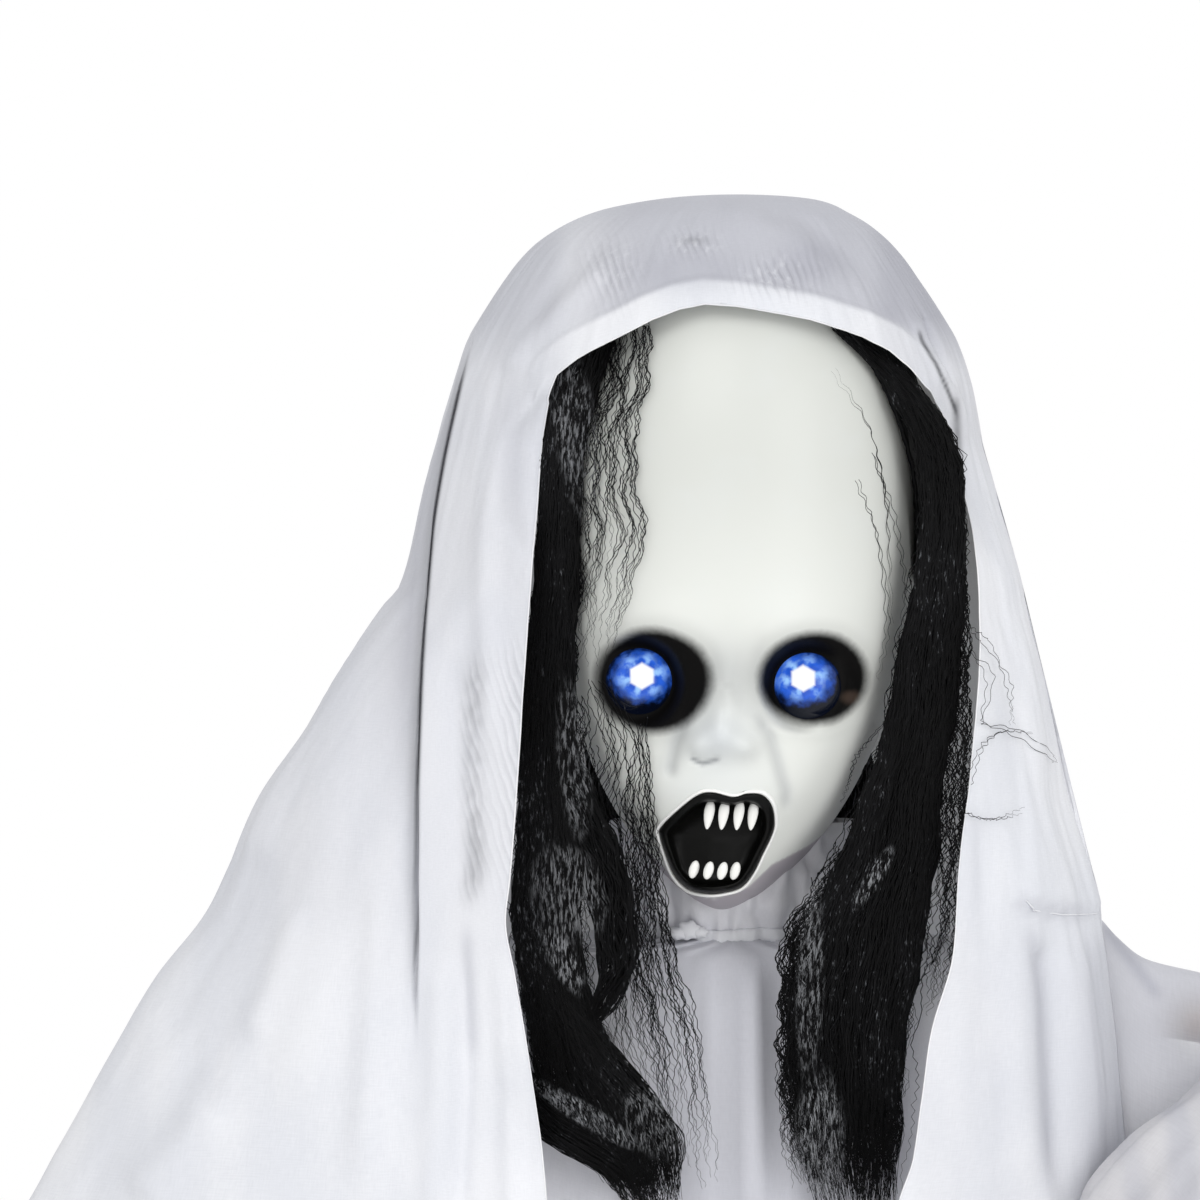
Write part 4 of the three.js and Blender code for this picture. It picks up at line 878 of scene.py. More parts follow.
VEIL_FOLDS = [
    # line, half width, height (a groove is below zero)
    ([(-152, -247), (-160, -275), (-170, -296)], 6, 3.0),
    ([(-181, -316), (-196, -335), (-212, -352)], 8, 4.0),
    ([(-128, -150), (-140, -200), (-146, -262), (-152, -330)], 12, 3.0),
    ([(-166, -228), (-184, -262), (-205, -300)], 10, -3.5),
    ([(-122, -232), (-126, -280), (-130, -352)], 6, 3.5),
    ([(-96.8, -257), (-95, -308), (-98, -360)], 3.5, -3.0),
    ([(-104, -262), (-104, -310), (-107, -360)], 5, 2.5),
    ([(-83, -262), (-80, -310), (-79, -365)], 4, 2.5),
    ([(-86, -95), (-88, -150), (-86, -200)], 4, 2.2),
    ([(-98, -160), (-99, -200), (-97, -250)], 5, -3.0),
    ([(5, 0), (17, -7), (32, -17), (48, -30)], 6, -2.0),
    ([(-5, 0), (10, -10), (28, -22)], 6, 1.8),
    ([(66, -42), (67.5, -49), (72.5, -57), (77, -67)], 1.5, -3.0),
    ([(62, -42), (64, -49), (69, -58), (73, -68)], 2.5, 1.6),
    ([(88, -84), (94, -120), (99, -165), (108, -215)], 5, 2.0),
    ([(84.5, -210), (85.5, -240), (84.5, -300)], 4, -0.8),
    ([(105, -262), (109, -280), (113, -356)], 4.5, -3.4),
    ([(97, -262), (99, -300), (100, -356)], 6, 2.6),
    ([(119, -262), (123, -300), (127, -356)], 6, 2.2),
    ([(-36, -17), (-55, -34), (-74, -52), (-81, -64)], 4, 2.4),
    ([(-55, -22), (-66, -35), (-74, -45)], 4, -1.6),
    ([(-20, -36), (0, -36.5), (24, -40)], 4, 1.0),
]
RIPPLED = [(16, -26, 12, 6, 1.0), (-44, -25, 7, 9, 1.0)]

# The sheet's columns: round the whole, over the forehead and in each front panel
VEIL_COLUMNS = 460
VEIL_FRONT = 130
VEIL_SIDE = (VEIL_COLUMNS - VEIL_FRONT) / 2
VEIL_PANEL = 55
HOOD_ROWS = 80
FALL_ROWS = 150
VEIL_LOW = -545.0
VEIL_TOP = 3.3
SHORT_LOW = -254.5
HEM_THREAD = 0.7
VEIL_ROUND = 1150.0


def section_turn(x, z):
    """The turn at which the veil's section reaches x in front, 0 at the front and positive right."""
    left, right, _, _ = VEIL.columns(z)
    return np.arcsin(np.clip(x / np.where(x < 0, left, right), -0.999, 0.999))


def veil_turn(column, z):
    """The turn of a column beside the front opening: dense at the crease and at the panel's fold."""
    on_left = column < VEIL_COLUMNS / 2
    inward = np.where(on_left, column, VEIL_COLUMNS - column)
    edge = np.where(
        on_left, -section_turn(LEFT_EDGE.first(z), z), section_turn(RIGHT_EDGE.first(z), z)
    )
    fold = np.where(on_left, -section_turn(CREASE.first(z), z), PANEL_TURN)
    outer = VEIL_SIDE - VEIL_PANEL
    first = 1 - (1 - np.clip(inward / outer, 0, 1)) ** 1.5
    second = np.clip((inward - outer) / VEIL_PANEL, 0, 1)
    second = np.where(on_left, second**1.35, second)
    around = np.where(inward < outer, math.pi + (fold - math.pi) * first, fold + (edge - fold) * second)
    return np.where(on_left, -around, around)


def back_calm(degrees):
    """Folds die out towards the seam at the back, where the sheet's two sides meet."""
    return smooth((178 - np.abs(degrees)) / 26)


def veil_hem(column):
    """The height of the lower hem at a column: short over the right arm, long elsewhere."""
    degrees = np.degrees(veil_turn(column, np.full(np.shape(column), -250.0)))
    left = smooth((-degrees - 24) / 30) * smooth((165 + degrees) / 30)
    base = VEIL_LOW + 95 * left + 5 * np.sin(degrees / 9.0) * back_calm(degrees)
    short = (degrees > PANEL_DEGREES) & (degrees < 156)
    back = smooth((degrees - 116) / 40)
    over_arm = SHORT_LOW + 0.8 * np.sin(degrees / 5)
    return np.where(short, over_arm * (1 - back) + base * back, base)


def veil_relief(x, z, turn):
    """How far the veil stands out of its plain section: folds, crease, hem band and waves."""
    front = smooth(np.cos(turn) * 4)
    hang = smooth((HANG_START - z) / 190)
    outer = smooth((x - 96) / 6)
    out = 1.6 * front * outer * (smooth((z + 250.5 + 0.05 * (x - 100)) / 1.2) - 0.4 * smooth((z + 236) / 30))
    out += front * ridges(x, z, VEIL_FOLDS)
    aside = x - CREASE.first(z)
    fade = front * smooth((-44 - z) / 30) * smooth((z + 300) / 70)
    out += fade * np.where(aside > 0, 3.2 * smooth(aside / 1.6) * np.exp(-aside / 12), 0)
    out -= fade * np.where(aside <= 0, 4.2 * np.exp(aside / 9), 0)
    out -= fade * 7 * bell(aside / 0.9)
    far, _ = from_line(x, z, FOREHEAD_EDGE)
    out += front * 0.9 * (1 - smooth((far - 9.4) / 0.9)) * (z > -84)
    degrees = np.degrees(turn)
    pleats = np.cos(degrees / 11.5 + 1.5 * waves(degrees / 30, z / 160, 5))
    sway = 5.5 * hang * pleats * (1 - 0.8 * front) + 3.0 * hang * waves(degrees / 16 + 9, z / 190, 11)
    sway += (0.5 + 1.3 * hang) * waves(degrees / 7 + 3, z / 75, 17)
    sway += 0.4 * waves(degrees / 2.6, z / 24, 23) + 0.16 * waves(degrees / 1.1, z / 11, 29)
    out += sway * back_calm(degrees)
    ripple = lumps(x, z, RIPPLED)
    return out + 0.35 * ripple * np.sin((x + 0.3 * z) * 2 * math.pi / RIPPLE_PITCH)


def corner_roll(x, z):
    """The left edge turns back below the hood's corner, which shows its shaded inner face."""
    edge = LEFT_EDGE.first(z)
    lens = smooth((-60 - z) / 30) * smooth((z + 138) / 34)
    inward = 1 - np.clip((edge - x) / (17 * lens + 0.01), 0, 1)
    return 13 * lens * smooth(inward)


def veil_place(across, down):
    """across runs from the back round the left, the front and the right to the back again."""
    row = down * (HOOD_ROWS + FALL_ROWS)
    column = np.round(across * VEIL_COLUMNS, 3)
    edge = np.array(FOREHEAD_EDGE, float)
    share = np.clip((column - VEIL_SIDE) / VEIL_FRONT, 0, 1)
    length = np.concatenate([[0], np.cumsum(np.hypot(*np.diff(edge, axis=0).T))])
    edge_x = np.interp(share * length[-1], length, edge[:, 0])
    edge_z = np.interp(share * length[-1], length, edge[:, 1])
    in_front = (share > 0) & (share < 1)
    side_share = np.clip(np.minimum(column, VEIL_COLUMNS - column) / VEIL_SIDE, 0, 1)
    corner_z = np.where(column < VEIL_COLUMNS / 2, edge[0, 1], edge[-1, 1])
    back_z = (edge[0, 1] + edge[-1, 1]) / 2
    level = np.where(in_front, edge_z, back_z + (corner_z - back_z) * smooth(side_share))
    hood_t = np.clip(row / HOOD_ROWS, 0, 1)
    fall_t = np.clip((row - HOOD_ROWS) / FALL_ROWS, 0, 1)
    z = VEIL_TOP - (VEIL_TOP - level) * (0.25 * hood_t + 0.75 * hood_t**2)
    z = np.where(row > HOOD_ROWS, level + (veil_hem(column) - level) * fall_t, z)
    turn = veil_turn(column, np.where(row > HOOD_ROWS, z, corner_z))
    turn = np.where(in_front, section_turn(edge_x, edge_z), turn)
    return veil_spot(turn, z)


def veil_spot(turn, z, lift=0.0):
    """The place on the veil at a turn and height, lifted off it."""
    left, right, front, back = VEIL.columns(z)
    s, c = np.sin(turn), np.cos(turn)
    reach = np.where(s < 0, left, right)
    deep = np.where(c > 0, front, back)
    x, y = reach * s, VEIL_Y - deep * c
    out = veil_relief(x, z, turn) * smooth((3.5 - z) / 12) + lift
    nx, ny = s * deep, -c * reach
    length = np.hypot(nx, ny) + 1e-6
    return x + out * nx / length, y + out * ny / length + corner_roll(x, z) * (c > 0), z


# Places of the veil's painted shade, its crinkles and its short hem, on the face's plane, with half sizes or
# half widths, and strengths
LEAF = [(-91, -158), (-94.5, -180), (-94, -211), (-93, -236), (-96.5, -254)]
EDGE_FOLD_RIGHT = [(66, -44), (67.3, -48.8), (72.4, -57.1), (76.7, -66.8), (80.6, -76.9)]
DARK_STRIP = [(79.4, -67.6), (79.8, -76.9), (80.6, -94.2), (81.6, -120.5)]
SHORT_HEM = [(101, -248.5), (104, -252), (116, -254.4), (130, -255.6)]
NOTCH = [(-14.5, -39.3), (-12.5, -38.3), (-8.3, -37), (-2.9, -35.5)]
DARK_LINES = [(EDGE_FOLD_RIGHT, 0.7, 0.75), (DARK_STRIP, 1.5, 0.5), (NOTCH, 0.5, 0.75)]
GREY_LINES = [
    ([(105.5, -258), (109.8, -278), (113.4, -358)], 3, 0.42),
    ([(86.4, -217.7), (86.4, -240), (84, -271.7)], 3, 0.16),
    ([(-96.8, -256.9), (-94, -308.4)], 2.5, 0.3),
    (SHORT_HEM, 3.4, 0.4),
]
GREY_PLACES = [(-15, -24, 16, 8, 0.35), (28, -20, 12, 8, 0.3), (-80, -92, 6, 28, 0.3)]
CRINKLED = [(16, -25.6, 13, 6, 1.0), (-44, -24, 8, 10, 0.8), (-15, -14, 9, 5, 0.8)]


def veil_shades(x, y, z):
    """Painted shade of the veil, on the face's plane: dark lines, grey areas, and crinkled patches whose
    ripples get painted shade and highlights.
    """
    sx, sz = seen(x, y, z)
    front = smooth((VEIL_Y - y) / 12)
    line = sx - seen(CREASE.first(z), y, z)[0]
    along = smooth((-47 - sz) / 24) * smooth((sz + 300) / 40) * (0.55 + 0.45 * smooth((sz + 235) / 40))
    # Painted shade down the crease, along the right edge's fold, the tuck and a small hood fold, with a dark
    # strip by the right edge.
    dark = along * (0.92 * bell(line / 0.75) + 0.22 * bell((line + 1.6) / 2.2))
    dark += ridges(sx, sz, DARK_LINES) + 0.2 * lump(sx, sz, -15, -12.5, 4.5, 1.4)
    # Painted shade on the darker facet of a fold beside the crease, which is crinkled too.
    leaf = ridge(sx, sz, LEAF, 3.6)
    dark += leaf * (0.13 + 0.1 * waves(sx / 2.5, sz / 0.9, 103) + 0.1 * smooth((-215 - sz) / 20))
    # Painted shade: the hood's top is greyed, apart from its hem band, with grey places, grey lines along
    # folds, and grey beside the crease and low on the sides.
    top = smooth((sz + 62) / 26)
    grey = 0.36 * top * smooth((sx + 62) / 30) + 0.4 * top
    edge = [seen(ex, -90.0, ez) for ex, ez in FOREHEAD_EDGE]
    far, _ = from_line(sx, sz, edge)
    grey = grey * smooth((far - 8.5) / 2.5)
    grey += lumps(sx, sz, GREY_PLACES) + ridges(sx, sz, GREY_LINES)
    grey += 0.5 * along * np.exp(-(np.abs(line + 6) / 9)) * (line < 0) * smooth((sz + 240) / 90)
    grey += 0.3 * smooth((sx - 118) / 12) * smooth((-258 - sz) / 12)
    grey += 0.16 * smooth((sx - 60) / 10) * smooth((-252 - sz) / 30)
    grey += 0.22 * smooth((-58 - sx) / 10) * smooth((sz + 310) / 80)
    grey += 0.24 * smooth((sx - 46) / 12) * smooth((sz + 110) / 40)
    crinkle = lumps(sx, sz, CRINKLED) + 0.5 * leaf
    crinkle += 0.5 * bell((sx + 78) / 8) * smooth((-150 - sz) / 20) * smooth((sz + 260) / 30)
    return dark * front, grey * front, crinkle * front


def short_hem_path():
    """The short layer's sewn edge, which crosses the long panel below it."""
    sx, sz = np.array(SHORT_HEM).T
    along = np.linspace(sx[0], sx[-1], 60)
    x, z = at_depth(along, np.interp(along, sx, sz), -56.0)
    return np.column_stack(veil_spot(section_turn(x, z), z, 0.25))


def veil_piece(finish, hem):
    total = HOOD_ROWS + FALL_ROWS
    first = VEIL_SIDE / VEIL_COLUMNS

    def opening(across, down):
        return (down * total > HOOD_ROWS) & (across > first) & (across < 1 - first)

    lay_flat = lambda across, x, y, z: (across * VEIL_ROUND, -z)
    bm = grid_mesh(VEIL_COLUMNS, total, veil_place, None, opening, lay_flat)
    made = mark(piece("veil", bm, finish, None), veil_shades)
    share = HOOD_ROWS / total
    outside = 1 - (VEIL_SIDE - VEIL_PANEL - 1) / VEIL_COLUMNS
    down = np.linspace(share, 1, 300)
    edges = (
        # across and down: over the forehead, the left and right edges and the short hem
        (np.linspace(first, 1 - first, 260), np.full(260, share)), (np.full(300, first), down),
        (np.full(300, 1 - first), down), (np.linspace(outside, outside + 0.12, 120), np.ones(120)),
    )
    paths = [np.column_stack(veil_place(*edge)) for edge in edges] + [short_hem_path()]
    rolled = threads("veil_hem", paths, HEM_THREAD, hem, None, 1.0)
    for cloth in (made, rolled):
        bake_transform(cloth)
    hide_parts("hood", "veil_fall_back", "veil_drape_left", "veil_front_left")


# Dress


DRESS = Profile([
    # height, half width, front, back
    (-220, 44, 39, 36), (-250, 45, 41, 38), (-257, 43, 38, 36), (-262, 41, 36, 34), (-264, 58, 40, 36),
    (-266, 94, 43, 40), (-270, 124, 46, 44), (-290, 132, 54, 50), (-352, 143, 60, 66),
    (-450, 148, 72, 74), (-600, 150, 86, 84), (-890, 141, 91, 91),
])
TIE_Z = -262.0
TIE_ROLL = 2.4
COLLAR_TOP = -241.0
DRESS_HEM = -888.0
ARMHOLE = 17.5
ARMHOLE_X = 110.0
ARMHOLE_Z = -286.0


def dress_place(across, down):
    turn = (across * 2 - 1) * math.pi
    top = COLLAR_TOP + 19 * smooth((np.abs(turn) - 0.2) / 0.5) - 10 * smooth((np.abs(turn) - 2.0) / 0.7)
    return dress_spot(turn, top + (DRESS_HEM - top) * (0.3 * down + 0.7 * down**2.2))


def dress_spot(turn, z):
    side, front, back = DRESS.columns(z)
    s, c = np.sin(turn), np.cos(turn)
    power = 1 - 0.15 * smooth((-264 - z) / 3)
    x = side * np.sign(s) * np.abs(s) ** power
    y = np.where(c > 0, front, back) * np.sign(c) * np.abs(c) ** power
    degrees = np.degrees(turn)
    gather = bell((z - TIE_Z) / 9)
    hang = smooth((-262 - z) / 240)
    calm = back_calm(degrees)
    folds = np.cos(turn * 22 + 1.6 * calm * waves(degrees / 40, z / 200, 41))
    fine = np.cos(turn * 40 + 2.2 * calm * waves(degrees / 12, z / 50, 43))
    out = 1.3 * gather * fine + (1.2 * smooth((-262 - z) / 20) + 6.5 * hang) * folds
    out += calm * (2.2 * hang * waves(degrees / 9, z / 130, 47) + 0.5 * waves(degrees / 3, z / 30, 53))
    chest = smooth((-266 - z) / 14) * (c > 0)
    for middle, height in ((5, 4.0), (-5, -2.2), (14, -2.2)):
        out += chest * height * bell((x - middle) / 4)
    collar = smooth((z + 260) / 8)
    out += 1.6 * collar * np.cos(turn * 17 + 2.4 * calm * waves(degrees / 15, z / 12, 59))
    out += 1.0 * calm * collar * waves(degrees / 7, z / 5, 67)
    nx, ny = s * np.where(c > 0, front, back), c * side
    length = np.hypot(nx, ny) + 1e-6
    ragged = 7 * calm * waves(degrees / 5, 0 * z, 61) * smooth((-840 - z) / 40)
    return x + out * nx / length, BODY_Y - 2 - (y + out * ny / length), z + ragged


# Lines of painted shade along the chest's folds: line, half width and strength.
CHEST_LINES = [
    ([(-2, -268), (-1, -300), (0, -356)], 1.6, 1.0),
    ([(9.5, -268), (10, -300), (10, -356)], 1.3, 1.0),
    ([(-14, -266), (-12, -290), (-11, -340)], 1.6, 0.7),
]


def dress_shades(x, y, z):
    """Painted shade: the chest and the collar lie in the head's shade, with darker lines along the chest's
    folds and round the tie.
    """
    sx, sz = seen(x, y, z)
    front = smooth((BODY_Y - 8 - y) / 12)
    chest = smooth((62 - np.abs(sx - 8)) / 26) * smooth((sz + 470) / 110) * (1 - smooth((sz + 268) / 8))
    lines = ridges(sx, sz, CHEST_LINES)
    tie = bell((sz + 264) / 1.6) * smooth((46 - np.abs(sx)) / 8)
    return 0.14 * lines * front + 0.14 * tie * front, 0.66 * chest * front + 0.2 * tie, 0 * x


def dress_pieces(finish, collar_finish):
    bm = grid_mesh(300, 150, dress_place, (960, 680))
    for side in (-1, 1):
        cut_armhole(bm, side)
    made = mark(piece("dress_cloth", bm, finish), dress_shades)
    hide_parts("dress")
    tie_pieces(collar_finish)


def cut_armhole(bm, side):
    """Opens the dress where the arm comes out, as a round hole facing sideways."""
    y, z = BODY_Y * MM, ARMHOLE_Z * MM
    reach = ARMHOLE * MM
    beside = lambda spot: spot.x * side > ARMHOLE_X * MM
    for v in filter(lambda v: beside(v.co), bm.verts):
        far = math.hypot(v.co.y - y, v.co.z - z)
        if abs(far - reach) < 0.0011:
            v.co.y = y + (v.co.y - y) * reach / far
            v.co.z = z + (v.co.z - z) * reach / far
    doomed = []
    for f in bm.faces:
        middle = f.calc_center_median()
        if beside(middle) and math.hypot(middle.y - y, middle.z - z) < reach:
            doomed.append(f)
    bmesh.ops.delete(bm, geom=doomed, context="FACES")


KNOT = (-17, -50.5, TIE_Z + 2.6)


def tie_pieces(finish):
    """The narrow rolled tie round the gathered neck, with its knot and two short tails."""
    def place(across, down):
        turn = (across * 2 - 1) * math.pi
        x, y, z = dress_spot(turn, np.full(np.shape(turn), TIE_Z + 0.5))
        roll = down * 2 * math.pi
        grow = 1 + (1.5 + 1.2 * np.cos(roll)) / 40
        return x * grow, BODY_Y + (y - BODY_Y) * grow, z + TIE_ROLL * np.sin(roll) + 0.5 * np.sin(9 * turn)

    made = piece("neck_tie", grid_mesh(160, 12, place, (262, 12)), finish)
    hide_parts("neck_ribbon")
    bm = bmesh.new()
    for dx, dz, wide, high in ((0, 0, 4.2, 3.4), (-3.6, -1.2, 3.4, 2.2), (3.8, -0.8, 3.2, 2.0)):
        made = bmesh.ops.create_uvsphere(bm, u_segments=20, v_segments=12, radius=1.0)["verts"]
        for v in made:
            fold = 1 + 0.12 * math.sin(6 * math.atan2(v.co.z, v.co.x))
            spot = (dx + v.co.x * wide * fold, v.co.y * TIE_ROLL, dz + v.co.z * high * fold)
            v.co = (Vector(KNOT) + Vector(spot)) * MM
    knot = piece("neck_knot", outward(bm), finish)


# Sleeves and arms


SLEEVES = {
    # x, middle y, top, bottom and half depth of each section, from the shoulder outwards
    "right": [
        (98, -11, -249, -318, 17), (112, -11, -249.5, -330, 20), (124, -11, -252, -345, 22),
        (132, -11, -256.5, -366, 23), (140, -11, -265, -384, 23),
        (150, -12, -272.6, -392, 22), (168, -16, -277, -400, 19), (188, -19, -281, -398, 17),
        (205, -22, -284.5, -386, 15),
    ],
    "left": [
        (-126, -10, -266, -322, 19), (-140, -11, -272, -326, 18), (-160, -12, -279, -330, 16),
        (-178, -13, -286, -332, 15), (-190, -14, -290, -328, 14),
    ],
}
CUFFS = {
    # middle of each section, half width and half height, from the elbow to the hand
    "right": [
        (198, -27, -303, 11, 12), (184, -42, -315, 13, 15), (168, -61, -331, 15, 18),
        (152, -79, -345, 20, 22), (141, -86, -359, 26, 22), (135, -88, -376, 28, 18),
    ],
    "left": [
        (-197, -17, -320, 13, 13), (-206, -19, -334, 16, 16), (-215, -22, -348, 20, 20),
        (-226, -26, -366, 25, 23), (-233, -28, -378, 28, 25),
    ],
}
FOAM_RADIUS = 11.0
FOAM_END = 5.2
ARM_FOAM = {
    "right": ((139, -13, -287), (178, -18.5, -293)),
    "left": ((-137, -11, -290), (-164, -12.6, -299)),
}


def sleeve_piece(side, finish):
    rows = np.array(SLEEVES[side], float)
    at = spaced(rows)

    def place(across, down):
        x, y, top, low, deep = at.columns(down)
        turn = across * 2 * math.pi
        high = (top - low) / 2
        c, s = np.cos(turn), np.sin(turn)
        width = deep * (1 - 0.22 * smooth((-s + 0.2) / 1.2))
        hang = smooth((0.6 - s) / 1.4)
        fold = hang * (2.2 * np.cos(x / 4.3 + 2.4 * c) + 1.4 * waves(x / 14, 2.5 * c, 83))
        py = y + (width + fold) * np.sign(c) * np.abs(c) ** 0.8
        pz = (top + low) / 2 + high * s
        return x + 1.5 * hang * waves(2 * c, down * 3, 89), py, pz + 2.0 * hang * np.sin(down * 11)

    # Painted shade: a little grey all over, greyer where the sleeve hangs past the dress's edge and less so
    # lower down, and along a fold; the third mark is a window where the foam shows through.
    def shades(x, y, z):
        sx, sz = seen(x, y, z)
        beyond = smooth((sx - 129 - 0.14 * (-255 - sz)) / 1.5)
        tone = beyond * (0.55 - 0.4 * smooth((-296 - sz) / 40)) + 0.1
        tone += 0.3 * ridge(sx, sz, [(130.3, -256.9), (142, -271), (154.4, -287.2)], 2.5)
        return 0 * x, tone, lump(sx, sz, 167, -297, 11, 12) * beyond

    bm = grid_mesh(150, 80, place, (270, 90))
    made = mark(piece(f"sleeve_cloth_{side}", bm, finish, None), shades)
    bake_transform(made)
    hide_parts(f"sleeve_{side}")


def cuff_piece(side, finish):
    rows = np.array(CUFFS[side], float)
    at = spaced(rows)

    def place(across, down):
        x, y, z, wide, high = at.columns(down)
        ax, ay, az, _, _ = at.columns(np.minimum(down + 0.02, 1)) - at.columns(np.maximum(down - 0.02, 0))
        along = np.stack([ax, ay, az])
        along = along / np.linalg.norm(along, axis=0)
        level = np.stack([along[1], -along[0], 0 * along[0]])
        level = level / np.maximum(np.linalg.norm(level, axis=0), 0.05)
        rise = np.cross(level.T, along.T).T
        turn = across * 2 * math.pi
        fold = 0.07 * np.cos(7 * turn + 2 * down) + 0.05 * waves(3 * np.cos(turn), down * 3, 97)
        fold = 1 + smooth(down * 1.4) * fold
        a, b = wide * fold * np.cos(turn), high * fold * np.sin(turn)
        b = np.where(b < 0, b * (1 + 0.35 * smooth(down * 2)), b)
        a = a + 1.6 * smooth(-np.sin(turn) + 0.4) * np.cos(a / 2.6) * smooth(down * 2)
        hem = 3.0 * smooth((down - 0.85) / 0.15) * np.cos(5 * turn)
        return tuple(p + level[i] * a + rise[i] * b + along[i] * hem for i, p in enumerate((x, y, z)))

    # Painted shade in soft bands along the cuff's folds.
    def shades(x, y, z):
        fold = waves(x / 7, z / 45, 107) + 0.5 * np.cos(x / 2.9 + z / 40)
        return 0 * x, 0.6 * smooth(fold + 0.3), 0 * x

    bm = grid_mesh(120, 70, place, (150, 80))
    made = mark(piece(f"cuff_cloth_{side}", bm, finish, None), shades)
    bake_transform(made)
    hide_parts(f"cuff_{side}")


def foam_piece(side, finish):
    """The foam round the upper arm, a little uneven, as it is wrapped and glued."""
    a, b = (Vector(p) for p in ARM_FOAM[side])
    along = (b - a).normalized()
    level = along.cross(Vector((0, 0, 1))).normalized()
    rise = level.cross(along)

    def place(across, down):
        turn = across * 2 * math.pi
        t = np.clip((down - 0.12) / 0.76, 0, 1)
        end = np.minimum(down, 1 - down) / 0.12
        rounded = np.sqrt(np.clip(1 - (1 - end) ** 2, 0, 1))
        r = np.where(end < 1, FOAM_END + (FOAM_RADIUS - FOAM_END) * rounded, FOAM_RADIUS)
        r = r * (1 + 0.03 * waves(3 * np.cos(turn), down * 6, 101))
        c, s = np.cos(turn), np.sin(turn)
        return tuple(a[i] + (b[i] - a[i]) * t + r * (level[i] * c + rise[i] * s) for i in range(3))

    bm = grid_mesh(48, 40, place, (69, 50))
    made = piece(f"foam_wrap_{side}", bm, finish, f"{side}_upper_arm")
    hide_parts(f"arm_foam_{side}")


# Hair


TRESSES = {
    # height, middle and half width of each tress, on the face's plane
    "left": [
        (-38, -49, 8.5), (-47, -52, 9), (-63, -57, 8.5), (-81, -61, 7.5), (-99, -63, 7), (-135, -64, 7.5),
        (-156, -66, 8), (-178, -67, 9), (-196, -67, 9.8), (-214, -68, 9.5), (-232, -67, 10.8),
        (-250, -68, 12.2), (-268, -67, 11.5), (-286, -64, 12.2), (-300, -60, 14), (-314, -55, 17),
        (-328, -47, 19), (-342, -39, 16), (-355, -32, 10),
    ],
    "temple": [
        (-38, -38, 8), (-48, -39, 9), (-63, -41, 9.6), (-81, -46, 10), (-99, -47, 12.2), (-117, -45, 13.7),
        (-135, -48, 12.2), (-149, -50, 10), (-166, -52, 7),
    ],
    "cheek": [
        (-170, -53, 6), (-196, -46, 12.2), (-214, -49, 13), (-232, -43, 11), (-250, -41, 9.4),
        (-268, -39, 8.6), (-286, -37, 8.6), (-304, -34, 9.4), (-318, -29, 10), (-335, -27, 8.6),
    ],
    "curl": [
        (-188, -64, 5), (-210, -58, 6.5), (-228, -51, 7.6), (-243, -46, 7.9), (-257, -44, 7.9),
        (-272, -42, 6.5), (-282, -45, 5.8), (-290, -50, 6), (-299, -57, 5),
    ],
    "sweep": [
        (-250, -75, 4), (-272, -70, 5.8), (-290, -61, 7.2), (-308, -49, 8.6), (-322, -38, 10.5),
        (-338, -31, 12), (-350, -29, 11), (-362, -28, 7),
    ],
    "under_sweep": [
        (-300, -84, 4), (-318, -77, 6), (-331, -65, 9), (-340, -51, 11), (-349, -39, 10), (-361, -32, 7),
    ],
    "neck": [
        (-180, -34, 2.2), (-214, -34, 3.6), (-243, -32, 5.8), (-272, -29, 8.6), (-300, -22, 9.4),
        (-355, -16, 10.8),
    ],
    "right": [
        (-43, 38, 4), (-50, 46, 3.6), (-59, 55, 4.6), (-68, 62, 5.6), (-80, 70, 7), (-95, 74, 7.2),
        (-113, 75, 7.2), (-128, 74, 8), (-142, 73, 9), (-160, 70, 10.5), (-178, 68, 11.5),
        (-193, 65, 11.8), (-207, 61, 13), (-217, 59, 14.5), (-232, 56, 17),
        (-242, 53, 18.5), (-257, 48, 20.4), (-272, 45, 22.5), (-290, 41, 22.5), (-310, 40, 21),
        (-326, 41, 20), (-340, 41, 19), (-352, 42, 17), (-364, 43, 14),
    ],
    "gauze_edge": [
        (-120, 81, 2.5), (-156, 81, 3.4), (-178, 80.5, 4.4), (-200, 80, 4.6), (-217, 79.5, 4.6),
        (-236, 79, 4.6), (-250, 78, 4.4), (-272, 75, 4.4), (-292, 71, 4),
    ],
    "inner_right": [
        (-228, 42, 5), (-250, 31, 7.2), (-268, 23, 6.5), (-286, 22, 5.8), (-304, 21, 5.8), (-322, 22, 6.5),
        (-340, 25, 7.2), (-356, 28, 6.5),
    ],
}
LOOPS = [
    [(84, -160), (92, -171), (90, -185), (99, -189), (113, -198), (115, -200)],
    [(82, -150), (90, -158), (99, -174), (100, -186)],
    [(84, -208), (90, -194), (98, -188), (106, -190)],
    [(80, -218), (92, -222), (104, -218)],
    [(54, -186), (47, -194), (42, -200), (40, -207), (38.5, -215)],
    [(50, -90), (58, -116), (61, -140), (58, -166)],
    [(36, -60), (50, -84), (56, -112), (57, -150)],
    [(44, -100), (52, -120), (55, -150), (52, -172)],
]
CORE_DEPTH = 4.0
HAIR_Y = Profile([(-360, -86), (-300, -84), (-240, -80), (-180, -80), (-120, -84), (-60, -84), (-40, -80)])


def hair_place(x, z, depth, gap):
    """Strand places seen at (x, z): in front of the skin, behind the hanging veil's edges."""
    y = hung = HAIR_Y.first(z) + 8 * smooth((np.abs(x) - 60) / 20)
    for _ in range(2):
        fx, fz = at_depth(x, z, y)
        y = np.minimum(hung, skin_y(fx, fz) - gap)
    y = y + depth
    fx, fz = at_depth(x, z, y)
    return np.column_stack([fx, y, fz])


def tress_shape(name):
    """A tress's profile, and the heights at which it begins and ends."""
    rows = TRESSES[name]
    return Profile(rows), rows[0][0], rows[-1][0]


def blunt(down):
    """How thick a bundle of hair is along its length: full, with blunt ends."""
    return np.sqrt(np.clip(1 - (2 * down - 1) ** 10, 0.02, 1))


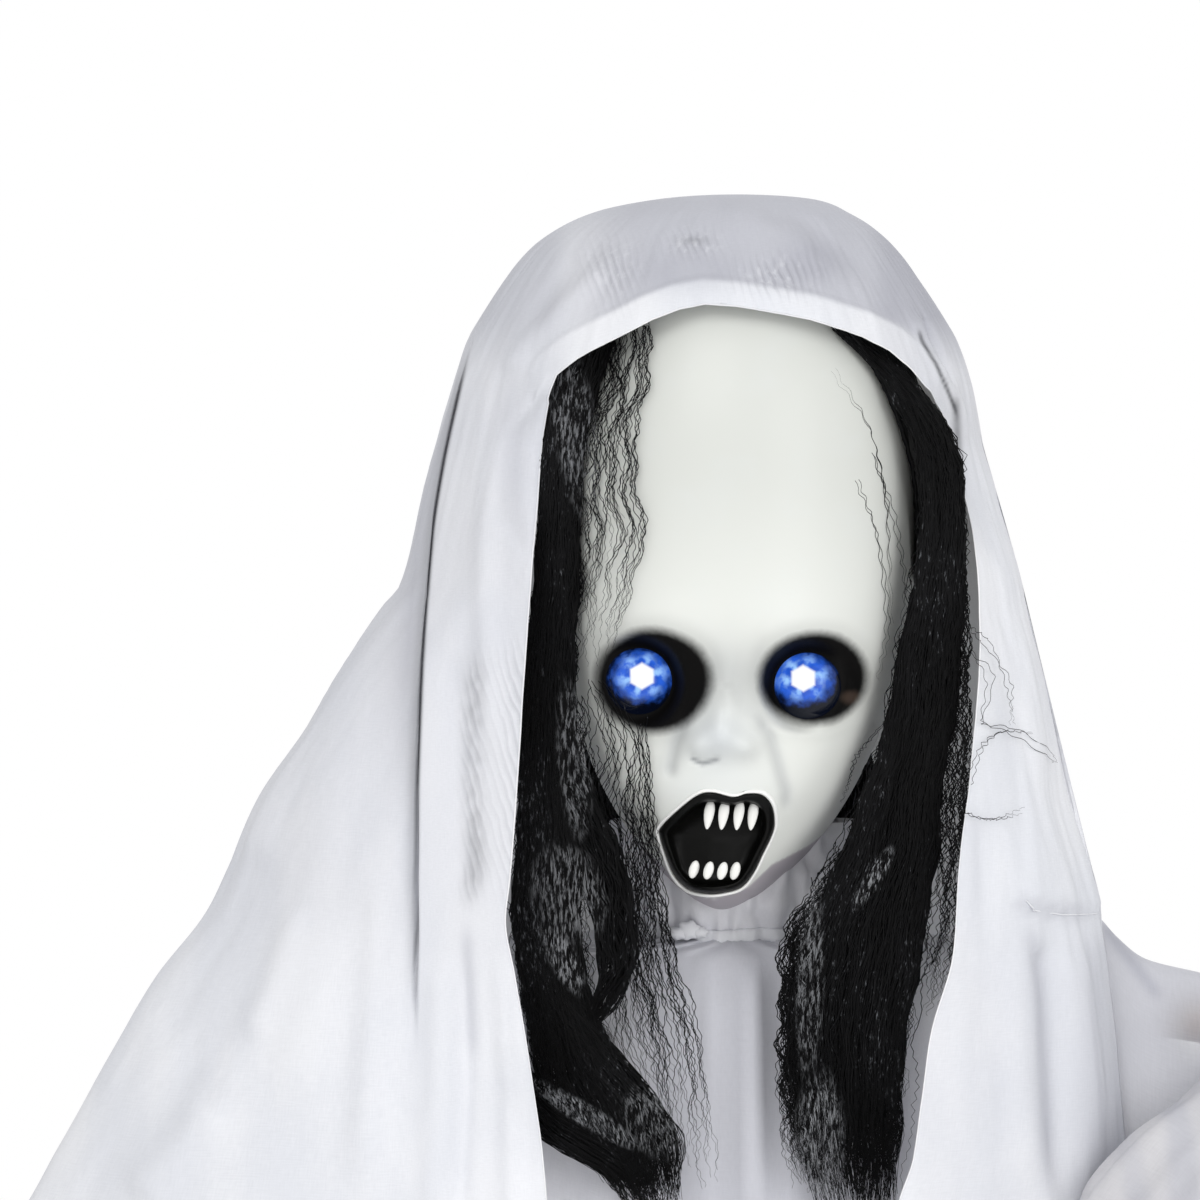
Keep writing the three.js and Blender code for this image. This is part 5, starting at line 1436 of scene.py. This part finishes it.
def tress(
    name, count, seed, points=28, start=0.1, stop=0.12, crimp=0.0, spread=1.0, layers=5.0, ragged=0.0
):
    """Strands of one tress, each at its own place across it, waving with the clump it belongs to.
    start and stop are how unevenly they begin and end, crimp their own waves in millimetres,
    layers the tress's depth, and ragged shortens those on its left."""
    profile, top, low = tress_shape(name)
    rng = np.random.default_rng(seed)
    clumps = rng.uniform(-1, 1, (16, 4))
    flat = []
    for _ in range(count):
        at = rng.uniform(-1, 1) * spread
        first = rng.uniform(0, start)
        last = 1 - abs(rng.normal(0, stop)) - ragged * max(0, -at) * rng.uniform()
        t = np.linspace(first, max(last, first + 0.25), points)
        t = np.clip(t, 0, 1)
        z = top + (low - top) * t
        x, half = profile.columns(z)
        clump = clumps[int((at + 1) * 8 + rng.uniform(-0.8, 0.8)) % 16]
        swing = 2 * math.pi * (z / (22 + 7 * clump[0]) + clump[1])
        drift = 0.9 * (1 + 0.5 * clump[2]) * np.sin(swing)
        own = rng.uniform(-1, 1, 4)
        drift = drift + 0.7 * waves(z / 5.5, np.full(points, own[0] * 30), seed)
        if crimp:
            strength = crimp * (0.75 + 0.5 * waves(z / 9, np.full(points, own[1] * 30), seed + 1))
            drift = drift + strength * np.sin(2 * math.pi * z / (4.6 + own[2] * 0.9) + 6 * own[3])
            drift = drift + 1.8 * waves(z / 13, np.full(points, own[3] * 30), seed + 2)
        pinch = 1 - 0.18 * np.abs(clump[3]) * smooth((t - 0.6) / 0.4)
        px = x + half * at * pinch + drift * np.minimum(1, half / 4)
        depth = layers * rng.uniform(-0.4, 1) * (1 - 0.5 * at * at) - 1.0
        gap = 2.2 + 1.2 * rng.uniform()
        depth = min(depth, 0.6 * gap - 1.0) if crimp else depth
        flat.append(np.column_stack([px, z, np.full(points, depth), np.full(points, gap)]))
    placed = hair_place(*np.concatenate(flat).T)
    return list(placed.reshape(count, points, 3))


def veil_front(x, z):
    """Depth of the veil's front at a place."""
    _, right, front, _ = VEIL.columns(z)
    return VEIL_Y - front * np.sqrt(np.clip(1 - (x / right) ** 2, 0, 1))


def loop_paths(seed):
    """Single loose hairs lying on the veil's right side and over the cheek."""
    rng = np.random.default_rng(seed)
    paths = []
    for line in LOOPS:
        for _ in range(2):
            t = np.linspace(0, 1, 60)
            way = np.array(line) + rng.uniform(-1.5, 1.5, (len(line), 2))
            px, pz = spaced(way).columns(t)
            px, pz = px + 0.5 * np.sin(t * 70), pz + 0.4 * np.cos(t * 57)
            fx, fz = at_depth(px, pz, -80.0)
            on_veil = px > 78
            y = np.where(on_veil, veil_front(fx, fz) - 4.0, skin_y(fx, fz) - 0.8)
            fx, fz = at_depth(px, pz, y)
            paths.append(np.column_stack([fx, y, fz]))
    return paths


def tress_core(name, finish, shrink, node, reach):
    """The dense middle of a tress, grooved like bundled fibre, down to a share of its length."""
    profile, top, low = tress_shape(name)

    def place(across, down):
        z = top + (low - top) * (0.04 + (reach - 0.04) * down)
        x, half = profile.columns(z)
        turn = across * 2 * math.pi
        ends = blunt(down)
        groove = 1 + 0.08 * np.cos(17 * turn + z / 14) + 0.06 * waves(5 * np.cos(turn), z / 30, 71)
        narrow = 1 - 0.35 * smooth((down - 0.6) / 0.4)
        side = half * shrink * narrow * ends * groove * np.cos(turn) + 0.9 * np.sin(z / 6)
        middle = hair_place(x, z, CORE_DEPTH, 2.0)
        spots = hair_place(x + side, z, CORE_DEPTH, 2.0)
        thick = 3.2 * ends * groove * np.sin(turn)
        return spots[:, 0], np.maximum(spots[:, 1], middle[:, 1] - 3) + thick, spots[:, 2]

    made = piece(f"hair_core_{name}", grid_mesh(64, 110, place, (60, 300)), finish)
    if node:
        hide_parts(node)


BACK_TOP = -60.0
BACK_LONG = 272.0
BACK_ROWS = Profile([
    # height, half width and depth of the fall behind the head
    (-60, 50, 40), (-104, 46, 51), (-140, 56, 53), (-190, 60, 52), (-250, 58, 53), (-290, 54, 58),
    (-332, 46, 64),
])


def back_fall(finish):
    """The fall of hair behind the head: a grooved core with strands over it."""
    def place(across, down, lift=0.0):
        z = BACK_TOP - BACK_LONG * (0.01 + 0.98 * down)
        half, deep = BACK_ROWS.columns(z)
        turn = across * 2 * math.pi
        ends = blunt(down)
        groove = 1 + 0.04 * np.cos(41 * turn + z / 14) + 0.05 * waves(9 * np.cos(turn), z / 30, 73)
        side = 0.85 * half * ends * groove * np.cos(turn) + 1.2 * np.sin(z / 9)
        return side, deep + (3.4 * ends * groove + lift) * np.sin(turn) - 0.005 * side**2, z

    core = piece("hair_fall_core", grid_mesh(110, 90, place, (120, BACK_LONG)), finish)
    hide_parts("hair_back")
    rng = np.random.default_rng(11)
    paths = []
    for _ in range(500):
        t = np.linspace(rng.uniform(0, 0.1), 1 - abs(rng.normal(0, 0.06)), 24)
        across = np.full(24, rng.uniform(0, 1)) + 0.006 * waves(t * 9, np.full(24, rng.uniform(0, 40)), 7)
        paths.append(np.column_stack(place(across, np.clip(t, 0, 1), rng.uniform(0, 2.0))))
    threads("hair_fall", paths, 0.5, finish)


CAP_TOP = 96.0
CAP_LIFT = 3.2
CAP_THICK = 1.6


def cap_piece(finish):
    """The hair glued over the skull, combed down from a small gap round the hanging bracket."""
    def place(across, down):
        turn = (across * 2 - 1) * math.pi
        low = np.zeros(np.shape(turn))
        for _ in range(8):
            _, y, _ = head_point(turn, low, 4.0)
            low = 0.5 * low + 0.5 * np.clip(-(y + 34) * 2.246, -30, 88)
        z = CAP_TOP + (low - CAP_TOP) * down**1.6
        comb = 0.35 * np.cos(150 * turn + 3 * waves(turn * 5, z / 20, 31))
        comb += 0.4 * waves(turn * 14, z / 25, 33)
        x, y, z = head_point(turn, z, CAP_LIFT)
        plain = np.hypot(x, y) + 1e-6
        return head_to_figure(x + comb * x / plain, y + comb * y / plain, z)

    made = piece("hair_over_skull", grid_mesh(420, 60, place, (400, 150)), finish)
    layer = made.modifiers.new("thickness", "SOLIDIFY")
    layer.thickness = CAP_THICK * MM
    layer.offset = 0
    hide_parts("hair_cap")


def hair_pieces(finish):
    tress_core("left", finish, 0.62, "hair_lock_left", 0.86)
    tress_core("right", finish, 0.66, "hair_lock_right", 0.9)
    tress_core("sweep", finish, 0.6, None, 0.8)
    tress_core("curl", finish, 0.5, None, 0.86)
    back_fall(finish)
    cap_piece(finish)
    sets = {
        # name: thickness and strands
        "hair_left_upper": (0.46, tress("left", 700, 3)),
        "hair_left_lower": (0.44, tress("left", 640, 5, start=0.5, stop=0.08)),
        "hair_temple": (0.28, tress("temple", 50, 17, 100, 0.1, 0.2, 0.5)),
        "hair_cheek": (0.28, tress("cheek", 50, 19, 100, 0.3, 0.2, 0.4)),
        "hair_under_sweep": (0.44, tress("under_sweep", 250, 37, 28, 0.2, 0.12, 0.3)),
        "hair_curl": (0.46, tress("curl", 360, 21, 28, 0.25, 0.08)),
        "hair_sweep": (0.44, tress("sweep", 400, 23, 30, 0.25, 0.12, 0.35)),
        "hair_neck": (0.3, tress("neck", 34, 25, 110, 0.4, 0.2, 0.5)),
        "hair_right_upper": (0.46, tress("right", 760, 7)),
        "hair_right_lower": (0.46, tress("right", 720, 9, start=0.6, stop=0.07, ragged=0.4)),
        "hair_gauze_edge": (0.34, tress("gauze_edge", 44, 27, 130, 0.5, 0.2, 0.8, layers=0.0)),
        "hair_inner_right": (0.34, tress("inner_right", 110, 29, 80, 0.4, 0.12, 0.7)),
        "hair_outer_left": (0.32, tress("left", 54, 31, 100, 0.5, 0.15, 0.9, 1.25)),
        "hair_outer_right": (0.32, tress("right", 54, 33, 100, 0.5, 0.2, 0.9, 1.2)),
        "hair_loose": (0.22, loop_paths(35)),
    }
    for name, (thick, paths) in sets.items():
        threads(name, paths, thick, finish)


# Scene


LAMP_SIZE = 900.0
LAMPS = (
    # name, place, what it points at, power in watts
    ("key", (-500, -1500, 800), (-20, 0, -220), 8.6),
    ("low", (60, -1500, -800), (0, -60, -240), 2.2),
    ("fill", (900, -1300, 100), (20, 0, -240), 5.0),
    ("rear", (300, 1500, 500), (0, 0, -300), 7.0),
)


def lights_and_camera():
    camera = bpy.data.objects.new("camera", bpy.data.cameras.new("camera"))
    bpy.context.scene.collection.objects.link(camera)
    camera.location = Vector((CAMERA_X, CAMERA_Y, CAMERA_Z)) * MM
    camera.rotation_euler = (math.radians(90), 0, 0)
    camera.data.sensor_width = SENSOR
    away = FACE_PLANE_Y - CAMERA_Y
    camera.data.lens = SENSOR * away / (PHOTO_PIXELS * MM_PER_PIXEL)
    camera.data.clip_end = 50
    bpy.context.scene.camera = camera
    for name, spot, aim, power in LAMPS:
        lamp = bpy.data.lights.new(name, "AREA")
        lamp.size = LAMP_SIZE * MM
        lamp.energy = power
        made = bpy.data.objects.new(name, lamp)
        made.location = Vector(spot) * MM
        away = (Vector(aim) - Vector(spot)) * MM
        made.rotation_euler = away.to_track_quat("-Z", "Y").to_euler()
        bpy.context.scene.collection.objects.link(made)


FLOOR_HALF = 3000.0
FLOOR_Z = -940.0


def white_room():
    """A white background and a pale floor."""
    world = bpy.data.worlds.new("room")
    bpy.context.scene.world = world
    world.use_nodes = True
    tree = world.node_tree
    back = tree.nodes["Background"]
    paths = tree.nodes.new("ShaderNodeLightPath")
    seen_as = tree.nodes.new("ShaderNodeMath")
    seen_as.operation = "MAXIMUM"
    tree.links.new(paths.outputs["Is Camera Ray"], seen_as.inputs[0])
    tree.links.new(paths.outputs["Is Transmission Ray"], seen_as.inputs[1])
    level = tree.nodes.new("ShaderNodeMapRange")
    level.inputs["To Min"].default_value = 0.7
    level.inputs["To Max"].default_value = 1.0
    tree.links.new(seen_as.outputs[0], level.inputs["Value"])
    tree.links.new(level.outputs[0], back.inputs["Strength"])
    back.inputs["Color"].default_value = (1, 1, 1, 1)
    bm = bmesh.new()
    bmesh.ops.create_grid(bm, x_segments=1, y_segments=1, size=FLOOR_HALF * MM)
    bmesh.ops.translate(bm, vec=(0, 0, FLOOR_Z * MM), verts=bm.verts)
    pale = Finish("floor_pale", Roughness=0.8, Base_Color=(0.9, 0.9, 0.9, 1))
    floor = piece("floor", bm, pale.material, None)


def paint_frame_nodes(finishes):
    """Every CAD node that stays in sight gets the finish of its kind."""
    for name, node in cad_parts.items():
        kind = next((f for key, f in finishes if key in name), finishes[-1][1])
        node.data.materials.clear()
        node.data.materials.append(kind)


def main():
    scene = bpy.context.scene
    scene.view_settings.view_transform = "Standard"
    lights_and_camera()
    white_room()
    # Whiter than the mask: a painted highlight for the mouth's rim.
    white = plastic_finish("rim_painted_highlight", srgb(250, 250, 248), 0.4, 0.1, 0.01)
    black_gloss = plastic_finish("black_gloss", srgb(8, 8, 7), 0.38, 0.04, 0.06, 0.12)
    tooth = plastic_finish("tooth_white", srgb(246, 246, 242), 0.35, 0.3, 0.03)
    steel = metal_finish("zinc_plated", (0.62, 0.63, 0.64, 1), 0.3)
    plastic = plastic_finish("black_moulding", srgb(38, 38, 41), 0.5)
    shell = plastic_finish("shell_white", srgb(226, 226, 221), 0.5)
    board = plastic_finish("board_green", srgb(28, 92, 52), 0.45)
    cell = metal_finish("cell_sleeve", (0.35, 0.37, 0.4, 1), 0.35)
    claw = plastic_finish("bone_white", srgb(214, 208, 194), 0.5, 0.0, 0.12)
    hair = hair_finish()
    gauze = gauze_finish("gauze_white", srgb(240, 241, 244), srgb(229, 230, 235))
    veil = gauze_finish("gauze_veil", srgb(240, 241, 245), srgb(229, 231, 237), 0.1, "creased")
    cloth = gauze_finish("gauze_dress", srgb(243, 243, 247), srgb(232, 232, 238), 0.02, "creased")
    sheer = gauze_finish("gauze_sheer", srgb(240, 240, 243), srgb(229, 229, 233), 0.06, "shaded", 0.5)
    # A greyer copy of the sleeves' gauze: painted shade where the sleeves end over the arms.
    shaded_cuff_gauze = gauze_finish("gauze_cuff_painted_shade", srgb(212, 211, 214), srgb(200, 199, 203), 0.04, "shaded")
    hem = gauze_finish("gauze_hem", srgb(246, 246, 248), srgb(232, 233, 237))
    foam = foam_finish()
    paint_frame_nodes([
        ("rear_head", shell), ("hand_", claw), ("battery_contacts", steel), ("battery_tray", plastic),
        ("battery_door", plastic), ("battery_", cell), ("circuit", board), ("screw", steel),
        ("pin_", steel), ("hang_", steel), ("eye_cup", black_gloss), ("switch", black_gloss), ("", plastic),
    ])
    mask_piece(mask_finish())
    mouth_pieces(black_gloss, white, tooth)
    eye_pieces({
        "left": eye_finish("eye_left", -34.1, -168.3), "right": eye_finish("eye_right", 21.5, -169.0),
    })
    veil_piece(veil, hem)
    dress_pieces(cloth, gauze)
    for side in ("left", "right"):
        foam_piece(side, foam)
        sleeve_piece(side, sheer)
        cuff_piece(side, shaded_cuff_gauze)
    hair_pieces(hair)


main()
